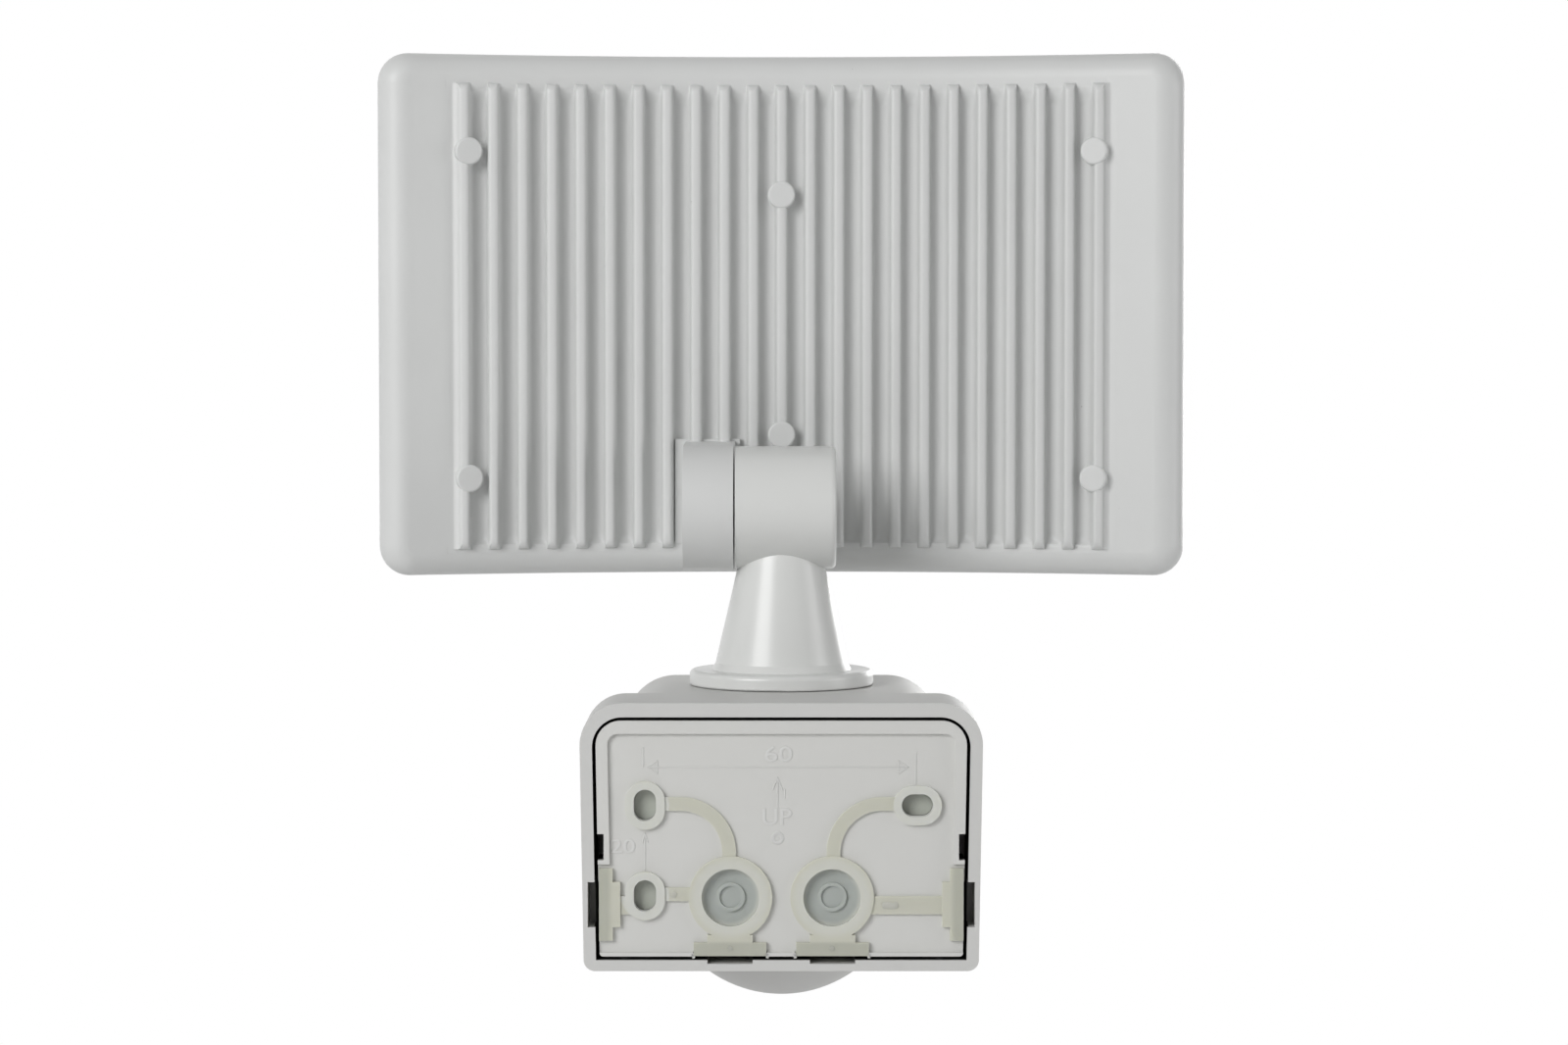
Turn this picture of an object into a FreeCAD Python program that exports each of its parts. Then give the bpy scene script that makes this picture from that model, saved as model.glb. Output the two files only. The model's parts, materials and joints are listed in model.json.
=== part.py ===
import FreeCAD, Part
import math
import os
import Sketcher

# Wall-mounted floodlight with a motion sensor. Millimetres, +Z up, the light looks along -Y.
# The wall is the plane y = 0, x = 0 is the middle, and z = 0 is the height of the upper fixing slots.
# A depth is a distance from the wall, so the point at depth d has y = -d.

SIZES = {
    # Rim box of the sensor housing, open to the wall
    "box_half_top": 44.5,
    "box_half_foot": 43.5,
    "box_top": 22.6,
    "box_foot": 36.6,
    "box_depth": 25.0,
    "box_corner": 9.3,
    "box_foot_corner": 2.5,
    "side_wall": 2.7,
    "top_wall": 3.1,
    "foot_wall": 2.4,
    # Narrow front part of the sensor housing
    "nose_half": 37.0,
    "nose_depth": 78.0,
    "nose_corner": 12.0,
    "nose_round": 4.0,
    "shell_wall": 2.5,
    # Seat of the neck in the housing's top
    "seat_radius": 15.0,
    "seat_height": 3.0,
    # Cable knock-outs in the rim
    "knock_depth": 11.0,
    "knock_bite": 1.6,
    "knock_length": 10.0,
    "knock_side_drop": 21.9,
    "knock_foot_place": 11.3,
    # Wall plate
    "plate_gap": 0.8,
    "plate_back": 0.3,
    "plate_recess": 1.0,
    "plate_thick": 2.6,
    "plate_skirt": 12.0,
    "skirt_wall": 1.8,
    "plate_corner": 5.5,
    "plate_foot_corner": 0.8,
    "notch_bite": 2.7,
    "notch_foot_bite": 2.2,
    "border_side": 2.6,
    "border_top": 2.9,
    "border_foot": 0.8,
    "border_end_drop": 13.0,
    "border_corner": 2.3,
    "hook_bite": 1.4,
    "hook_top_drop": 6.3,
    "hook_foot_drop": 12.1,
    # Fixing slots
    "slot_span": 60.0,
    "slot_drop": 20.0,
    "slot_radius": 2.4,
    "slot_length": 6.8,
    # Soft seal on the plate
    "seal_back": 0.2,
    "runner_back": 0.6,
    "ring_width": 1.85,
    "ring_clear": 0.1,
    "cable_place": 11.2,
    "cable_drop": 20.4,
    "cable_radius": 6.35,
    "cable_ring_radius": 9.2,
    "cable_hole_radius": 7.4,
    "membrane_thick": 0.6,
    "membrane_depth": 2.3,
    "nipple_radius": 3.2,
    "nipple_bore": 2.45,
    "nipple_height": 0.6,
    "runner_width": 3.0,
    "runner_bend": 10.7,
    "runner_bend_place": 22.2,
    "runner_bend_drop": 10.4,
    "low_runner_drop": 19.7,
    "wide_runner_drop": 22.1,
    "wide_runner_width": 4.0,
    "edge_seal_width": 3.0,
    "edge_seal_over": 3.0,
    "edge_seal_step": 1.7,
    # Sensor dome below the housing
    "dome_radius": 29.5,
    "dome_depth": 61.0,
    "dome_drop": 21.7,
    "cowl_wall": 2.2,
    "lens_wall": 1.2,
    "lens_gap": 0.3,
    "lens_root": 1.2,
    "lens_lip": 3.0,
    "lens_lip_clear": 0.2,
    # Detector behind the lens
    "holder_thick": 2.0,
    "holder_half": 31.0,
    "holder_top": 9.0,
    "holder_foot": 4.0,
    "holder_hole": 6.0,
    "holder_boss_place": 27.5,
    "holder_boss_rise": 5.0,
    "holder_boss_radius": 3.2,
    "sensor_board_radius": 16.0,
    "pir_radius": 4.6,
    "pir_height": 4.5,
    # Control board and what it carries
    "board_half": 38.5,
    "board_top": 15.0,
    "board_foot": 30.0,
    "board_thick": 1.6,
    "boss_radius": 2.8,
    "boss_height": 4.0,
    "boss_place": 36.8,
    "boss_rise": 10.0,
    "boss_drop": 26.0,
    "relay_width": 19.0,
    "relay_tall": 15.0,
    "relay_height": 15.5,
    "relay_place": 19.0,
    "capacitor_radius": 5.0,
    "capacitor_height": 16.0,
    "coil_width": 18.0,
    "coil_tall": 20.0,
    "coil_height": 17.0,
    "coil_place": 20.5,
    "pot_width": 10.0,
    "pot_tall": 5.0,
    "pot_height": 11.0,
    "pot_drop": 24.0,
    # Adjusters under the housing
    "dial_place": 16.0,
    "dial_depth": 25.0,
    "dial_radius": 4.5,
    "dial_clear": 0.1,
    "dial_proud": 0.6,
    "dial_collar": 1.1,
    "dial_collar_thick": 0.9,
    "dial_stem": 1.5,
    "dial_slot": 1.2,
    "dial_slot_deep": 0.8,
    "dial_slot_half": 3.15,
    # Terminals on the plate
    "terminal_width": 34.0,
    "terminal_tall": 12.0,
    "terminal_height": 10.5,
    "terminal_rise": 8.0,
    "terminal_entry_radius": 2.6,
    "terminal_count": 3,
    # Screws that hold the housing to the plate
    "housing_screw_place": 35.0,
    "housing_screw_depth": 7.2,
    # Small screws
    "screw_radius": 1.5,
    "screw_head": 2.8,
    "screw_head_thick": 2.0,
    "countersink_deep": 1.4,
    "screw_clear": 0.15,
    "screw_length": 6.0,
    # Neck
    "neck_depth": 48.0,
    "neck_foot": 10.6,
    "spigot_radius": 11.0,
    "spigot_clear": 0.1,
    "flange_radius": 21.25,
    "flange_gap": 0.15,
    "flange_thick": 3.5,
    "flange_round": 1.2,
    "flange_foot_round": 0.4,
    "cone_radius": 15.2,
    "cone_flare": 0.9,
    "cone_flare_height": 1.6,
    "cone_top_radius": 8.85,
    "cone_height": 29.0,
    "neck_wall": 2.4,
    "barrel_radius": 14.1,
    "barrel_wall": 2.5,
    "barrel_far": 12.6,
    "barrel_round": 1.2,
    "tilt_height": 63.6,
    "hinge_plane": 10.8,
    "hinge_gap": 0.4,
    "hinge_wall": 3.0,
    "cap_thick": 2.5,
    "cap_gap": 0.1,
    "nut_height": 4.0,
    "nut_radius": 17.0,
    "nut_clear": 0.05,
    "washer_thick": 1.0,
    "washer_gap": 0.2,
    "ring_seal_radius": 18.0,
    "ring_seal_width": 1.8,
    "ring_seal_deep": 1.3,
    # Head casting, measured from the tilt axis
    "head_half": 94.5,
    "head_foot": 16.8,
    "head_height": 122.4,
    "head_back": 27.0,
    "head_curve": 268.0,
    "head_deep": 24.0,
    "head_corner": 7.0,
    "head_round": 5.5,
    "head_wall": 5.0,
    "room_corner": 2.0,
    "head_skin": 2.4,
    "fin_count": 23,
    "fin_pitch": 6.75,
    "fin_width": 2.2,
    "fin_tip": 0.5,
    "fin_draft": 3.0,
    "fin_proud": 2.0,
    "fin_root": 2.0,
    "fin_side_root": 2.0,
    "fin_side_reach": 1.6,
    "fin_sunk": 0.4,
    "fin_over": 1.0,
    "valley_deep": 5.4,
    "valley_foot": 7.2,
    "valley_top": 8.1,
    "valley_ramp": 3.3,
    "valley_top_round": 1.9,
    "valley_foot_round": 2.5,
    "post_radius": 3.25,
    "post_round": 0.6,
    "post_proud": 0.5,
    "post_turn": 15.93,
    "post_side_span": 76.5,
    "post_mid_span": 56.7,
    "pilot_depth": 6.5,
    "knuckle_radius": 14.5,
    "knuckle_far": 22.6,
    "knuckle_sunk": 0.5,
    "pad_near": 9.9,
    "pad_far": 25.2,
    "pad_rise": 0.6,
    "pad_proud": 0.3,
    "bolt_radius": 2.5,
    "bolt_clear": 0.1,
    "bolt_head": 4.8,
    "bolt_head_thick": 4.0,
    "bolt_sink": 5.0,
    "bolt_nut_thick": 4.0,
    "bolt_nut_radius": 4.6,
    "bolt_tail": 1.2,
    "bolt_socket": 2.9,
    "bolt_socket_deep": 2.0,
    "tilt_washer_radius": 6.0,
    # Lamp parts inside the head
    "led_board_half": 80.0,
    "led_board_tall": 92.0,
    "led_board_thick": 1.6,
    "led_board_gap": 0.05,
    "led_size": 3.5,
    "led_thick": 0.8,
    "led_columns": 12,
    "led_rows": 6,
    "led_turn": 2.7,
    "led_pitch": 13.0,
    "led_screw_length": 6.6,
    "plug_width": 12.0,
    "plug_tall": 5.0,
    "plug_thick": 5.0,
    "plug_drop": 43.5,
    "seat_ledge": 3.0,
    "diffuser_recess": 0.5,
    "diffuser_thick": 2.5,
    "diffuser_clear": 0.25,
    "seal_thick": 1.5,
    "seal_inset": 0.5,
    "seal_width": 2.0,
    "diffuser_round": 0.8,
    # Round of small moulded edges, and how far a cut runs past the face that it opens
    "small_round": 0.3,
    "cut_over": 1.0,
}

# Two places closer than this are the same place
NEAR = 1e-3

doc = FreeCAD.newDocument("Floodlight")
sheet = doc.addObject("Spreadsheet::Sheet", "Sizes")
for row, (alias, number) in enumerate(SIZES.items(), start=1):
    sheet.set(f"A{row}", alias.replace("_", " "))
    sheet.set(f"B{row}", str(number))
    sheet.setAlias(f"B{row}", alias)
doc.recompute()


class Size:
    """A value together with the sheet expression that gives it."""

    def __init__(self, value, text):
        self.value = value
        self.text = text

    def join(self, other, sign, value):
        return Size(value, f"({self.text} {sign} {text_of(other)})")

    def __add__(self, other):
        return self.join(other, "+", self.value + value_of(other))

    def __sub__(self, other):
        return self.join(other, "-", self.value - value_of(other))

    def __rsub__(self, other):
        return Size(value_of(other) - self.value, f"({text_of(other)} - {self.text})")

    def __mul__(self, other):
        return self.join(other, "*", self.value * value_of(other))

    def __truediv__(self, other):
        return self.join(other, "/", self.value / value_of(other))

    def __neg__(self):
        return Size(-self.value, f"(-{self.text})")

    __radd__ = __add__
    __rmul__ = __mul__


def value_of(size):
    return size.value if isinstance(size, Size) else size


def text_of(size):
    return size.text if isinstance(size, Size) else str(size)


def sine(angle):
    return Size(math.sin(math.radians(value_of(angle))), f"sin({text_of(angle)} * 1 deg)")


def cosine(angle):
    return Size(math.cos(math.radians(value_of(angle))), f"cos({text_of(angle)} * 1 deg)")


def leg(long_side, other_side):
    """The third side of a right triangle, from its longest side and one other."""
    value = math.sqrt(value_of(long_side) ** 2 - value_of(other_side) ** 2)
    return Size(value, f"sqrt({text_of(long_side)} ^ 2 - {text_of(other_side)} ^ 2)")


class Names:
    """The sheet's sizes by name."""

    def __getattr__(self, name):
        return Size(SIZES[name], f"Sizes.{name}")


S = Names()


def box_half(height, sink):
    """Half the rim box's width at a height, less a wall, because its sides lean in downwards."""
    lean = (S.box_half_top - S.box_half_foot) / (S.box_top + S.box_foot)
    return S.box_half_foot + (height + S.box_foot) * lean - sink


# Places that several pieces share
PLATE_SINK = S.side_wall + S.plate_gap
PLATE_FACE = S.plate_back + S.plate_recess
PLATE_FRONT = PLATE_FACE + S.plate_thick
PLATE_TOP = S.box_top - S.top_wall - S.plate_gap
PLATE_FOOT = S.box_foot - S.foot_wall - S.plate_gap
SHOULDER = S.box_depth - S.shell_wall
BOARD_FRONT = SHOULDER - S.boss_height
BOARD_BACK = BOARD_FRONT - S.board_thick
SLOT_PLACE = S.slot_span / 2
FLANGE_FOOT = S.box_top + S.flange_gap
FLANGE_TOP = FLANGE_FOOT + S.flange_thick
SEAT_FOOT = S.box_top - S.top_wall - S.seat_height
HOLDER_FRONT = S.dome_depth - S.lens_lip
HOLDER_BACK = HOLDER_FRONT - S.holder_thick
BARREL_NEAR = S.hinge_plane - S.hinge_gap / 2
KNUCKLE_NEAR = S.hinge_plane + S.hinge_gap / 2
CURVE_CENTRE = S.head_curve - S.head_back
VALLEY_RADIUS = S.head_curve + S.valley_deep
POCKET_RADIUS = VALLEY_RADIUS + S.fin_sunk
FLOOR_RADIUS = VALLEY_RADIUS + S.head_skin
EDGE_RADIUS = S.head_curve + S.head_deep
DIFFUSER_RADIUS = EDGE_RADIUS - S.diffuser_recess - S.diffuser_thick
LEDGE_RADIUS = DIFFUSER_RADIUS - S.seal_thick
REBATE_IN = S.head_wall - S.seat_ledge
FIN_TIP_RADIUS = S.head_curve - S.fin_proud
HEAD_TOP = S.head_height - S.head_foot
VALLEY_LOW = S.valley_foot - S.head_foot
VALLEY_HIGH = HEAD_TOP - S.valley_top
HEAD_MIDDLE = S.head_height / 2 - S.head_foot
LED_BOARD_RADIUS = FLOOR_RADIUS + S.led_board_gap
LED_FACE_RADIUS = LED_BOARD_RADIUS + S.led_board_thick
SCREW_BORE = S.screw_radius + S.screw_clear
LENS_LIP_RADIUS = S.dome_radius - S.cowl_wall - S.lens_lip_clear
LUG_HEIGHT = S.screw_length - S.foot_wall
EDGE_SEAL_IN = box_half(-S.knock_side_drop, PLATE_SINK + S.ring_clear + S.edge_seal_width)
SLOT_DROPS = {1: (0, S.slot_drop), -1: (0,)}


def bind(item, prop, size):
    item.setExpression(prop, text_of(size))


def vector(x, y):
    return FreeCAD.Vector(value_of(x), value_of(y), 0)


def pinned(geometry, end, x, y):
    """The rules that hold one point of a line, arc or circle at a named place."""
    return [
        (Sketcher.Constraint(kind, -1, 1, geometry, end, float(value_of(size))), size)
        for kind, size in (("DistanceX", x), ("DistanceY", y))
    ]


def sized(geometry, radius):
    """The rule that holds an arc's or a circle's radius."""
    return (Sketcher.Constraint("Radius", geometry, value_of(radius)), radius)


def keep(sketch, rules):
    """Give a sketch its rules in one step, each bound to its size."""
    first = sketch.ConstraintCount
    sketch.addConstraint([rule for rule, _ in rules])
    for number, (_, size) in enumerate(rules, start=first):
        if isinstance(size, Size):
            bind(sketch, f"Constraints[{number}]", size)


class Bend:
    """An arc from one corner of an outline to the next, with its centre left or right of the way."""

    def __init__(self, radius, left=True):
        self.radius = radius
        self.left = left

    def edge(self, start, end):
        radius = value_of(self.radius)
        chord = end - start
        side = FreeCAD.Vector(-chord.y, chord.x, 0).normalize() * (1 if self.left else -1)
        rise = math.sqrt(max(radius**2 - chord.Length**2 / 4, 0))
        centre = (start + end) * 0.5 + side * rise
        first, last = (start, end) if self.left else (end, start)
        begin = math.atan2(first.y - centre.y, first.x - centre.x)
        finish = math.atan2(last.y - centre.y, last.x - centre.x)
        circle = Part.Circle(centre, FreeCAD.Vector(0, 0, 1), radius)
        return Part.ArcOfCircle(circle, begin, finish)


def trace(sketch, *stops):
    """Close an outline through corners (x, y), or (x, y, Bend) where an arc leaves the corner."""
    first = sketch.GeometryCount
    count = len(stops)
    points = [vector(stop[0], stop[1]) for stop in stops]
    ends = []
    for index, stop in enumerate(stops):
        start, end = points[index], points[(index + 1) % count]
        bend = stop[2] if len(stop) > 2 else None
        sketch.addGeometry(bend.edge(start, end) if bend else Part.LineSegment(start, end), False)
        ends.append((1, 2) if bend is None or bend.left else (2, 1))
    rules = []
    for index, stop in enumerate(stops):
        following = (index + 1) % count
        meet = (first + index, ends[index][1], first + following, ends[following][0])
        rules.append((Sketcher.Constraint("Coincident", *meet), None))
        rules += pinned(first + index, ends[index][0], stop[0], stop[1])
        if len(stop) > 2:
            rules.append(sized(first + index, stop[2].radius))
    keep(sketch, rules)


def ring(sketch, x, y, *radii):
    """Concentric circles about one point."""
    for radius in radii:
        circle = Part.Circle(vector(x, y), FreeCAD.Vector(0, 0, 1), value_of(radius))
        number = sketch.addGeometry(circle, False)
        keep(sketch, pinned(number, 3, x, y) + [sized(number, radius)])


def block(sketch, left, right, foot, top):
    trace(sketch, (left, foot), (right, foot), (right, top), (left, top))


def slot(sketch, x, y, radius, reach, upright):
    """A round-ended slot: reach is from its middle to the centre of an end."""
    if upright:
        low, high = y - reach, y + reach
        trace(
            sketch,
            (x + radius, low),
            (x + radius, high, Bend(radius)),
            (x, high + radius, Bend(radius)),
            (x - radius, high),
            (x - radius, low, Bend(radius)),
            (x, low - radius, Bend(radius)),
        )
    else:
        low, high = x - reach, x + reach
        trace(
            sketch,
            (low, y - radius),
            (high, y - radius, Bend(radius)),
            (high + radius, y, Bend(radius)),
            (high, y + radius),
            (low, y + radius, Bend(radius)),
            (low - radius, y, Bend(radius)),
        )


def new_body(label, x=0, y=0, z=0):
    body = doc.addObject("PartDesign::Body", label)
    body.Label = label
    for axis, size in zip("xyz", (x, y, z)):
        bind(body, f"Placement.Base.{axis}", size)
    return body


def new_sketch(body, plane, lift=0, right=0, up=0, turn=0, turn_axis=(0, 1, 0)):
    """A sketch on one of the body's own planes. On XZ_Plane the lift is a depth from the wall."""
    sketch = body.newObject("Sketcher::SketchObject", f"{body.Name}_sketch")
    support = next(item for item in body.Origin.OriginFeatures if item.Role == plane)
    sketch.AttachmentSupport = [(support, "")]
    sketch.MapMode = "FlatFace"
    if turn:
        rotation = FreeCAD.Rotation(FreeCAD.Vector(*turn_axis), value_of(turn))
        sketch.AttachmentOffset = FreeCAD.Placement(FreeCAD.Vector(), rotation)
        bind(sketch, "AttachmentOffset.Rotation.Angle", turn)
    for axis, size in zip("xyz", (right, up, lift)):
        bind(sketch, f"AttachmentOffset.Base.{axis}", size)
    return sketch


def add(body, kind, sketch, **settings):
    """Add one feature to a body and check that it changed the volume the right way."""
    before = body.Shape.Volume if body.Tip else 0
    feature = body.newObject(f"PartDesign::{kind}", f"{body.Name}_{kind.lower()}")
    feature.Profile = sketch
    for prop, size in settings.items():
        if isinstance(size, Size):
            bind(feature, prop, size)
        else:
            setattr(feature, prop, size)
    doc.recompute()
    grows = kind in ("Pad", "Revolution")
    change = body.Shape.Volume - before
    if (change > 0) != grows or abs(change) < NEAR:
        raise ValueError(f"{feature.Name} changed the volume by {change:.3f}")
    return feature


def pad(body, sketch, length, **settings):
    return add(body, "Pad", sketch, Length=length, **settings)


def cut_on(body, sketch, length):
    """Cut along the sketch's normal: forward from the wall on XZ_Plane, up on XY_Plane."""
    return add(body, "Pocket", sketch, Length=length, Reversed=True)


def cut_back(body, sketch, length):
    """Cut against the sketch's normal: towards the wall on XZ_Plane, down on XY_Plane."""
    return add(body, "Pocket", sketch, Length=length)


def turned(body, kind, sketch, axis="V_Axis"):
    return add(body, kind, sketch, ReferenceAxis=(sketch, [axis]), Angle=360.0)


def points_of(edge):
    return [edge.valueAt(edge.FirstParameter + part * (edge.LastParameter - edge.FirstParameter))
            for part in (0.0, 0.5, 1.0)]


def lies_at(edge, **places):
    """Whether the edge's start, middle and end all have the given coordinates."""
    return all(
        abs(getattr(point, axis) - value_of(size)) < NEAR
        for point in points_of(edge)
        for axis, size in places.items()
    )


def runs_along(edge, axis):
    start, middle, end = points_of(edge)
    others = [letter for letter in "xyz" if letter != axis]
    return all(
        abs(getattr(start, letter) - getattr(point, letter)) < NEAR
        for point in (middle, end)
        for letter in others
    )


def is_round(edge, radius):
    """Whether an edge is part of a circle of that radius."""
    return edge.Curve.TypeId == "Part::GeomCircle" and abs(edge.Curve.Radius - value_of(radius)) < NEAR


def soften(body, radius, chosen):
    """Round the chosen edges of the body as it stands."""
    base = body.Tip
    names = [f"Edge{number}" for number, edge in enumerate(base.Shape.Edges, 1) if chosen(edge)]
    if not names:
        raise ValueError(f"no edge of {body.Label} was chosen")
    feature = body.newObject("PartDesign::Fillet", f"{body.Name}_fillet")
    feature.Base = (base, names)
    bind(feature, "Radius", radius)
    doc.recompute()
    if "Invalid" in feature.State or not feature.Shape.isValid():
        raise ValueError(f"{feature.Name} failed")
    return feature


def repeat(body, kind, originals, **settings):
    """Repeat features round an axis or along a line; the pattern becomes the body's tip."""
    feature = body.newObject(f"PartDesign::{kind}", f"{body.Name}_{kind.lower()}")
    feature.Originals = originals
    for prop, size in settings.items():
        if isinstance(size, Size):
            bind(feature, prop, size)
        else:
            setattr(feature, prop, size)
    body.Tip = feature
    doc.recompute()
    return feature


TURNS = {
    "-y": FreeCAD.Rotation(FreeCAD.Vector(1, 0, 0), 90),
    "z": FreeCAD.Rotation(),
}


def place(item, x, y, z, rotation=None):
    item.Placement = FreeCAD.Placement(FreeCAD.Vector(), rotation or FreeCAD.Rotation())
    for axis, size in zip("xyz", (x, y, z)):
        bind(item, f"Placement.Base.{axis}", size)


def cylinder(radius, height, x, y, z, axis="z"):
    item = doc.addObject("Part::Cylinder", "Cylinder")
    bind(item, "Radius", radius)
    bind(item, "Height", height)
    place(item, x, y, z, TURNS[axis])
    return item


def box(width, deep, tall, x, y, z):
    """A box centred on x and z whose wall side is at y; it reaches deep towards the front."""
    item = doc.addObject("Part::Box", "Box")
    bind(item, "Length", width)
    bind(item, "Width", deep)
    bind(item, "Height", tall)
    place(item, x - width / 2, y - deep, z - tall / 2)
    return item


def fuse(*items):
    item = doc.addObject("Part::MultiFuse", "Fuse")
    item.Shapes = list(items)
    return item


def cut(base, tool):
    item = doc.addObject("Part::Cut", "Cut")
    item.Base = base
    item.Tool = tool
    return item


def group(label, items):
    """Identical small pieces that share one node, each its own solid."""
    item = doc.addObject("Part::Compound", label)
    item.Links = list(items)
    item.Label = label
    return item


def named(item, label):
    item.Label = label
    return item


def screw(x, y, z, axis, length=S.screw_length):
    """A pan-head screw: its head stands against the axis, its shank runs along it."""
    back = {"-y": (x, y + S.screw_head_thick, z), "z": (x, y, z - S.screw_head_thick)}[axis]
    head = cylinder(S.screw_head, S.screw_head_thick, *back, axis=axis)
    shank = cylinder(S.screw_radius, length, x, y, z, axis=axis)
    return fuse(head, shank)


def rim_outline(sketch, sink, top, foot):
    """The rim box's leaning outline, a wall further in."""
    wide, narrow = box_half(top, sink), box_half(-foot, sink)
    trace(sketch, (-narrow, -foot), (narrow, -foot), (wide, top), (-wide, top))


def nose_outline(sketch, sink, top_sink, foot_sink):
    """The narrow front part's outline, with its two large top corners."""
    half = S.nose_half - sink
    top = S.box_top - top_sink
    foot = S.box_foot - foot_sink
    round_by = S.nose_corner - sink
    trace(
        sketch,
        (-half, -foot),
        (half, -foot),
        (half, top - round_by, Bend(round_by)),
        (half - round_by, top),
        (-half + round_by, top, Bend(round_by)),
        (-half, top - round_by),
    )


def dome_sketch(body):
    """A sketch in the mid-plane with its origin at the dome's centre: right is towards the wall."""
    return new_sketch(body, "YZ_Plane", right=-S.dome_depth, up=-S.dome_drop)


def quarter(sketch, radius, towards_wall):
    """A quarter disc below the dome's axis, on its wall side or its front side."""
    if towards_wall:
        trace(sketch, (0, 0), (0, -radius, Bend(radius)), (radius, 0))
    else:
        trace(sketch, (0, 0), (-radius, 0, Bend(radius)), (0, -radius))


def make_sensor_housing():
    body = new_body("sensor_housing")
    rim = new_sketch(body, "XZ_Plane")
    rim_outline(rim, 0, S.box_top, S.box_foot)
    pad(body, rim, S.box_depth)
    soften(body, S.box_corner, lambda edge: runs_along(edge, "y") and lies_at(edge, z=S.box_top))
    soften(body, S.box_foot_corner, lambda edge: runs_along(edge, "y") and lies_at(edge, z=-S.box_foot))
    nose = new_sketch(body, "XZ_Plane")
    nose_outline(nose, 0, 0, 0)
    pad(body, nose, S.nose_depth)
    soften(body, S.nose_round, lambda edge: lies_at(edge, y=-S.nose_depth))
    cowl = dome_sketch(body)
    quarter(cowl, S.dome_radius, True)
    turned(body, "Revolution", cowl, "H_Axis")
    rim_room = new_sketch(body, "XZ_Plane")
    rim_outline(rim_room, S.side_wall, S.box_top - S.top_wall, S.box_foot - S.foot_wall)
    cut_on(body, rim_room, SHOULDER)
    room_top = S.box_top - S.top_wall
    soften(body, S.box_corner - S.side_wall, lambda edge: runs_along(edge, "y") and lies_at(edge, z=room_top))
    nose_room = new_sketch(body, "XZ_Plane")
    nose_outline(nose_room, S.shell_wall, S.top_wall, S.foot_wall)
    cut_on(body, nose_room, S.nose_depth - S.shell_wall)
    cowl_room = dome_sketch(body)
    quarter(cowl_room, S.dome_radius - S.cowl_wall, True)
    turned(body, "Groove", cowl_room, "H_Axis")
    lens_mouth = dome_sketch(body)
    quarter(lens_mouth, S.dome_radius + S.lens_gap, False)
    turned(body, "Groove", lens_mouth, "H_Axis")
    seat = new_sketch(body, "XY_Plane", lift=SEAT_FOOT)
    ring(seat, 0, -S.neck_depth, S.seat_radius)
    pad(body, seat, S.seat_height + S.top_wall / 2)
    seat_bore = new_sketch(body, "XY_Plane", lift=S.box_top)
    ring(seat_bore, 0, -S.neck_depth, S.spigot_radius + S.spigot_clear)
    cut_back(body, seat_bore, S.top_wall + S.seat_height)
    dials = new_sketch(body, "XY_Plane", lift=-S.box_foot)
    for side in (-1, 1):
        ring(dials, S.dial_place * side, -S.dial_depth, S.dial_radius + S.dial_clear)
    cut_on(body, dials, S.foot_wall)
    screw_holes = new_sketch(body, "XY_Plane", lift=-S.box_foot)
    for side in (-1, 1):
        ring(screw_holes, S.housing_screw_place * side, -S.housing_screw_depth, SCREW_BORE)
    cut_on(body, screw_holes, S.foot_wall)
    for side in (-1, 1):
        seat = new_sketch(body, "XZ_Plane", lift=S.housing_screw_depth, right=S.housing_screw_place * side,
                          up=-S.box_foot)
        deep = S.countersink_deep
        trace(seat, (0, 0), (S.screw_head + S.screw_clear, 0), (SCREW_BORE, deep), (0, deep))
        turned(body, "Groove", seat)
    knock_outs = new_sketch(body, "XZ_Plane")
    low = -S.knock_side_drop - S.knock_length / 2
    high = -S.knock_side_drop + S.knock_length / 2
    outer = box_half(-S.knock_side_drop, S.side_wall - S.knock_bite)
    inner = outer - 2 * S.knock_bite
    block(knock_outs, inner, outer, low, high)
    block(knock_outs, -outer, -inner, low, high)
    sill = -S.box_foot + S.foot_wall
    for side in (-1, 1):
        middle = S.knock_foot_place * side
        half = S.knock_length / 2
        block(knock_outs, middle - half, middle + half, sill - S.knock_bite / 2, sill + S.knock_bite)
    cut_on(body, knock_outs, S.knock_depth)
    bosses = new_sketch(body, "XZ_Plane", lift=BOARD_FRONT)
    for side in (-1, 1):
        for height in (S.boss_rise, -S.boss_drop):
            ring(bosses, S.boss_place * side, height, S.boss_radius)
    pad(body, bosses, S.boss_height + S.shell_wall / 2)
    pilots = new_sketch(body, "XZ_Plane", lift=BOARD_FRONT)
    for side in (-1, 1):
        for height in (S.boss_rise, -S.boss_drop):
            ring(pilots, S.boss_place * side, height, SCREW_BORE)
    cut_on(body, pilots, S.boss_height + S.shell_wall / 2)
    posts = new_sketch(body, "XZ_Plane", lift=HOLDER_FRONT)
    for side in (-1, 1):
        ring(posts, S.holder_boss_place * side, S.holder_boss_rise, S.holder_boss_radius)
    pad(body, posts, S.nose_depth - S.shell_wall / 2 - HOLDER_FRONT)
    post_holes = new_sketch(body, "XZ_Plane", lift=HOLDER_FRONT)
    for side in (-1, 1):
        ring(post_holes, S.holder_boss_place * side, S.holder_boss_rise, SCREW_BORE)
    cut_on(body, post_holes, S.screw_length)
    return body


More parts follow.
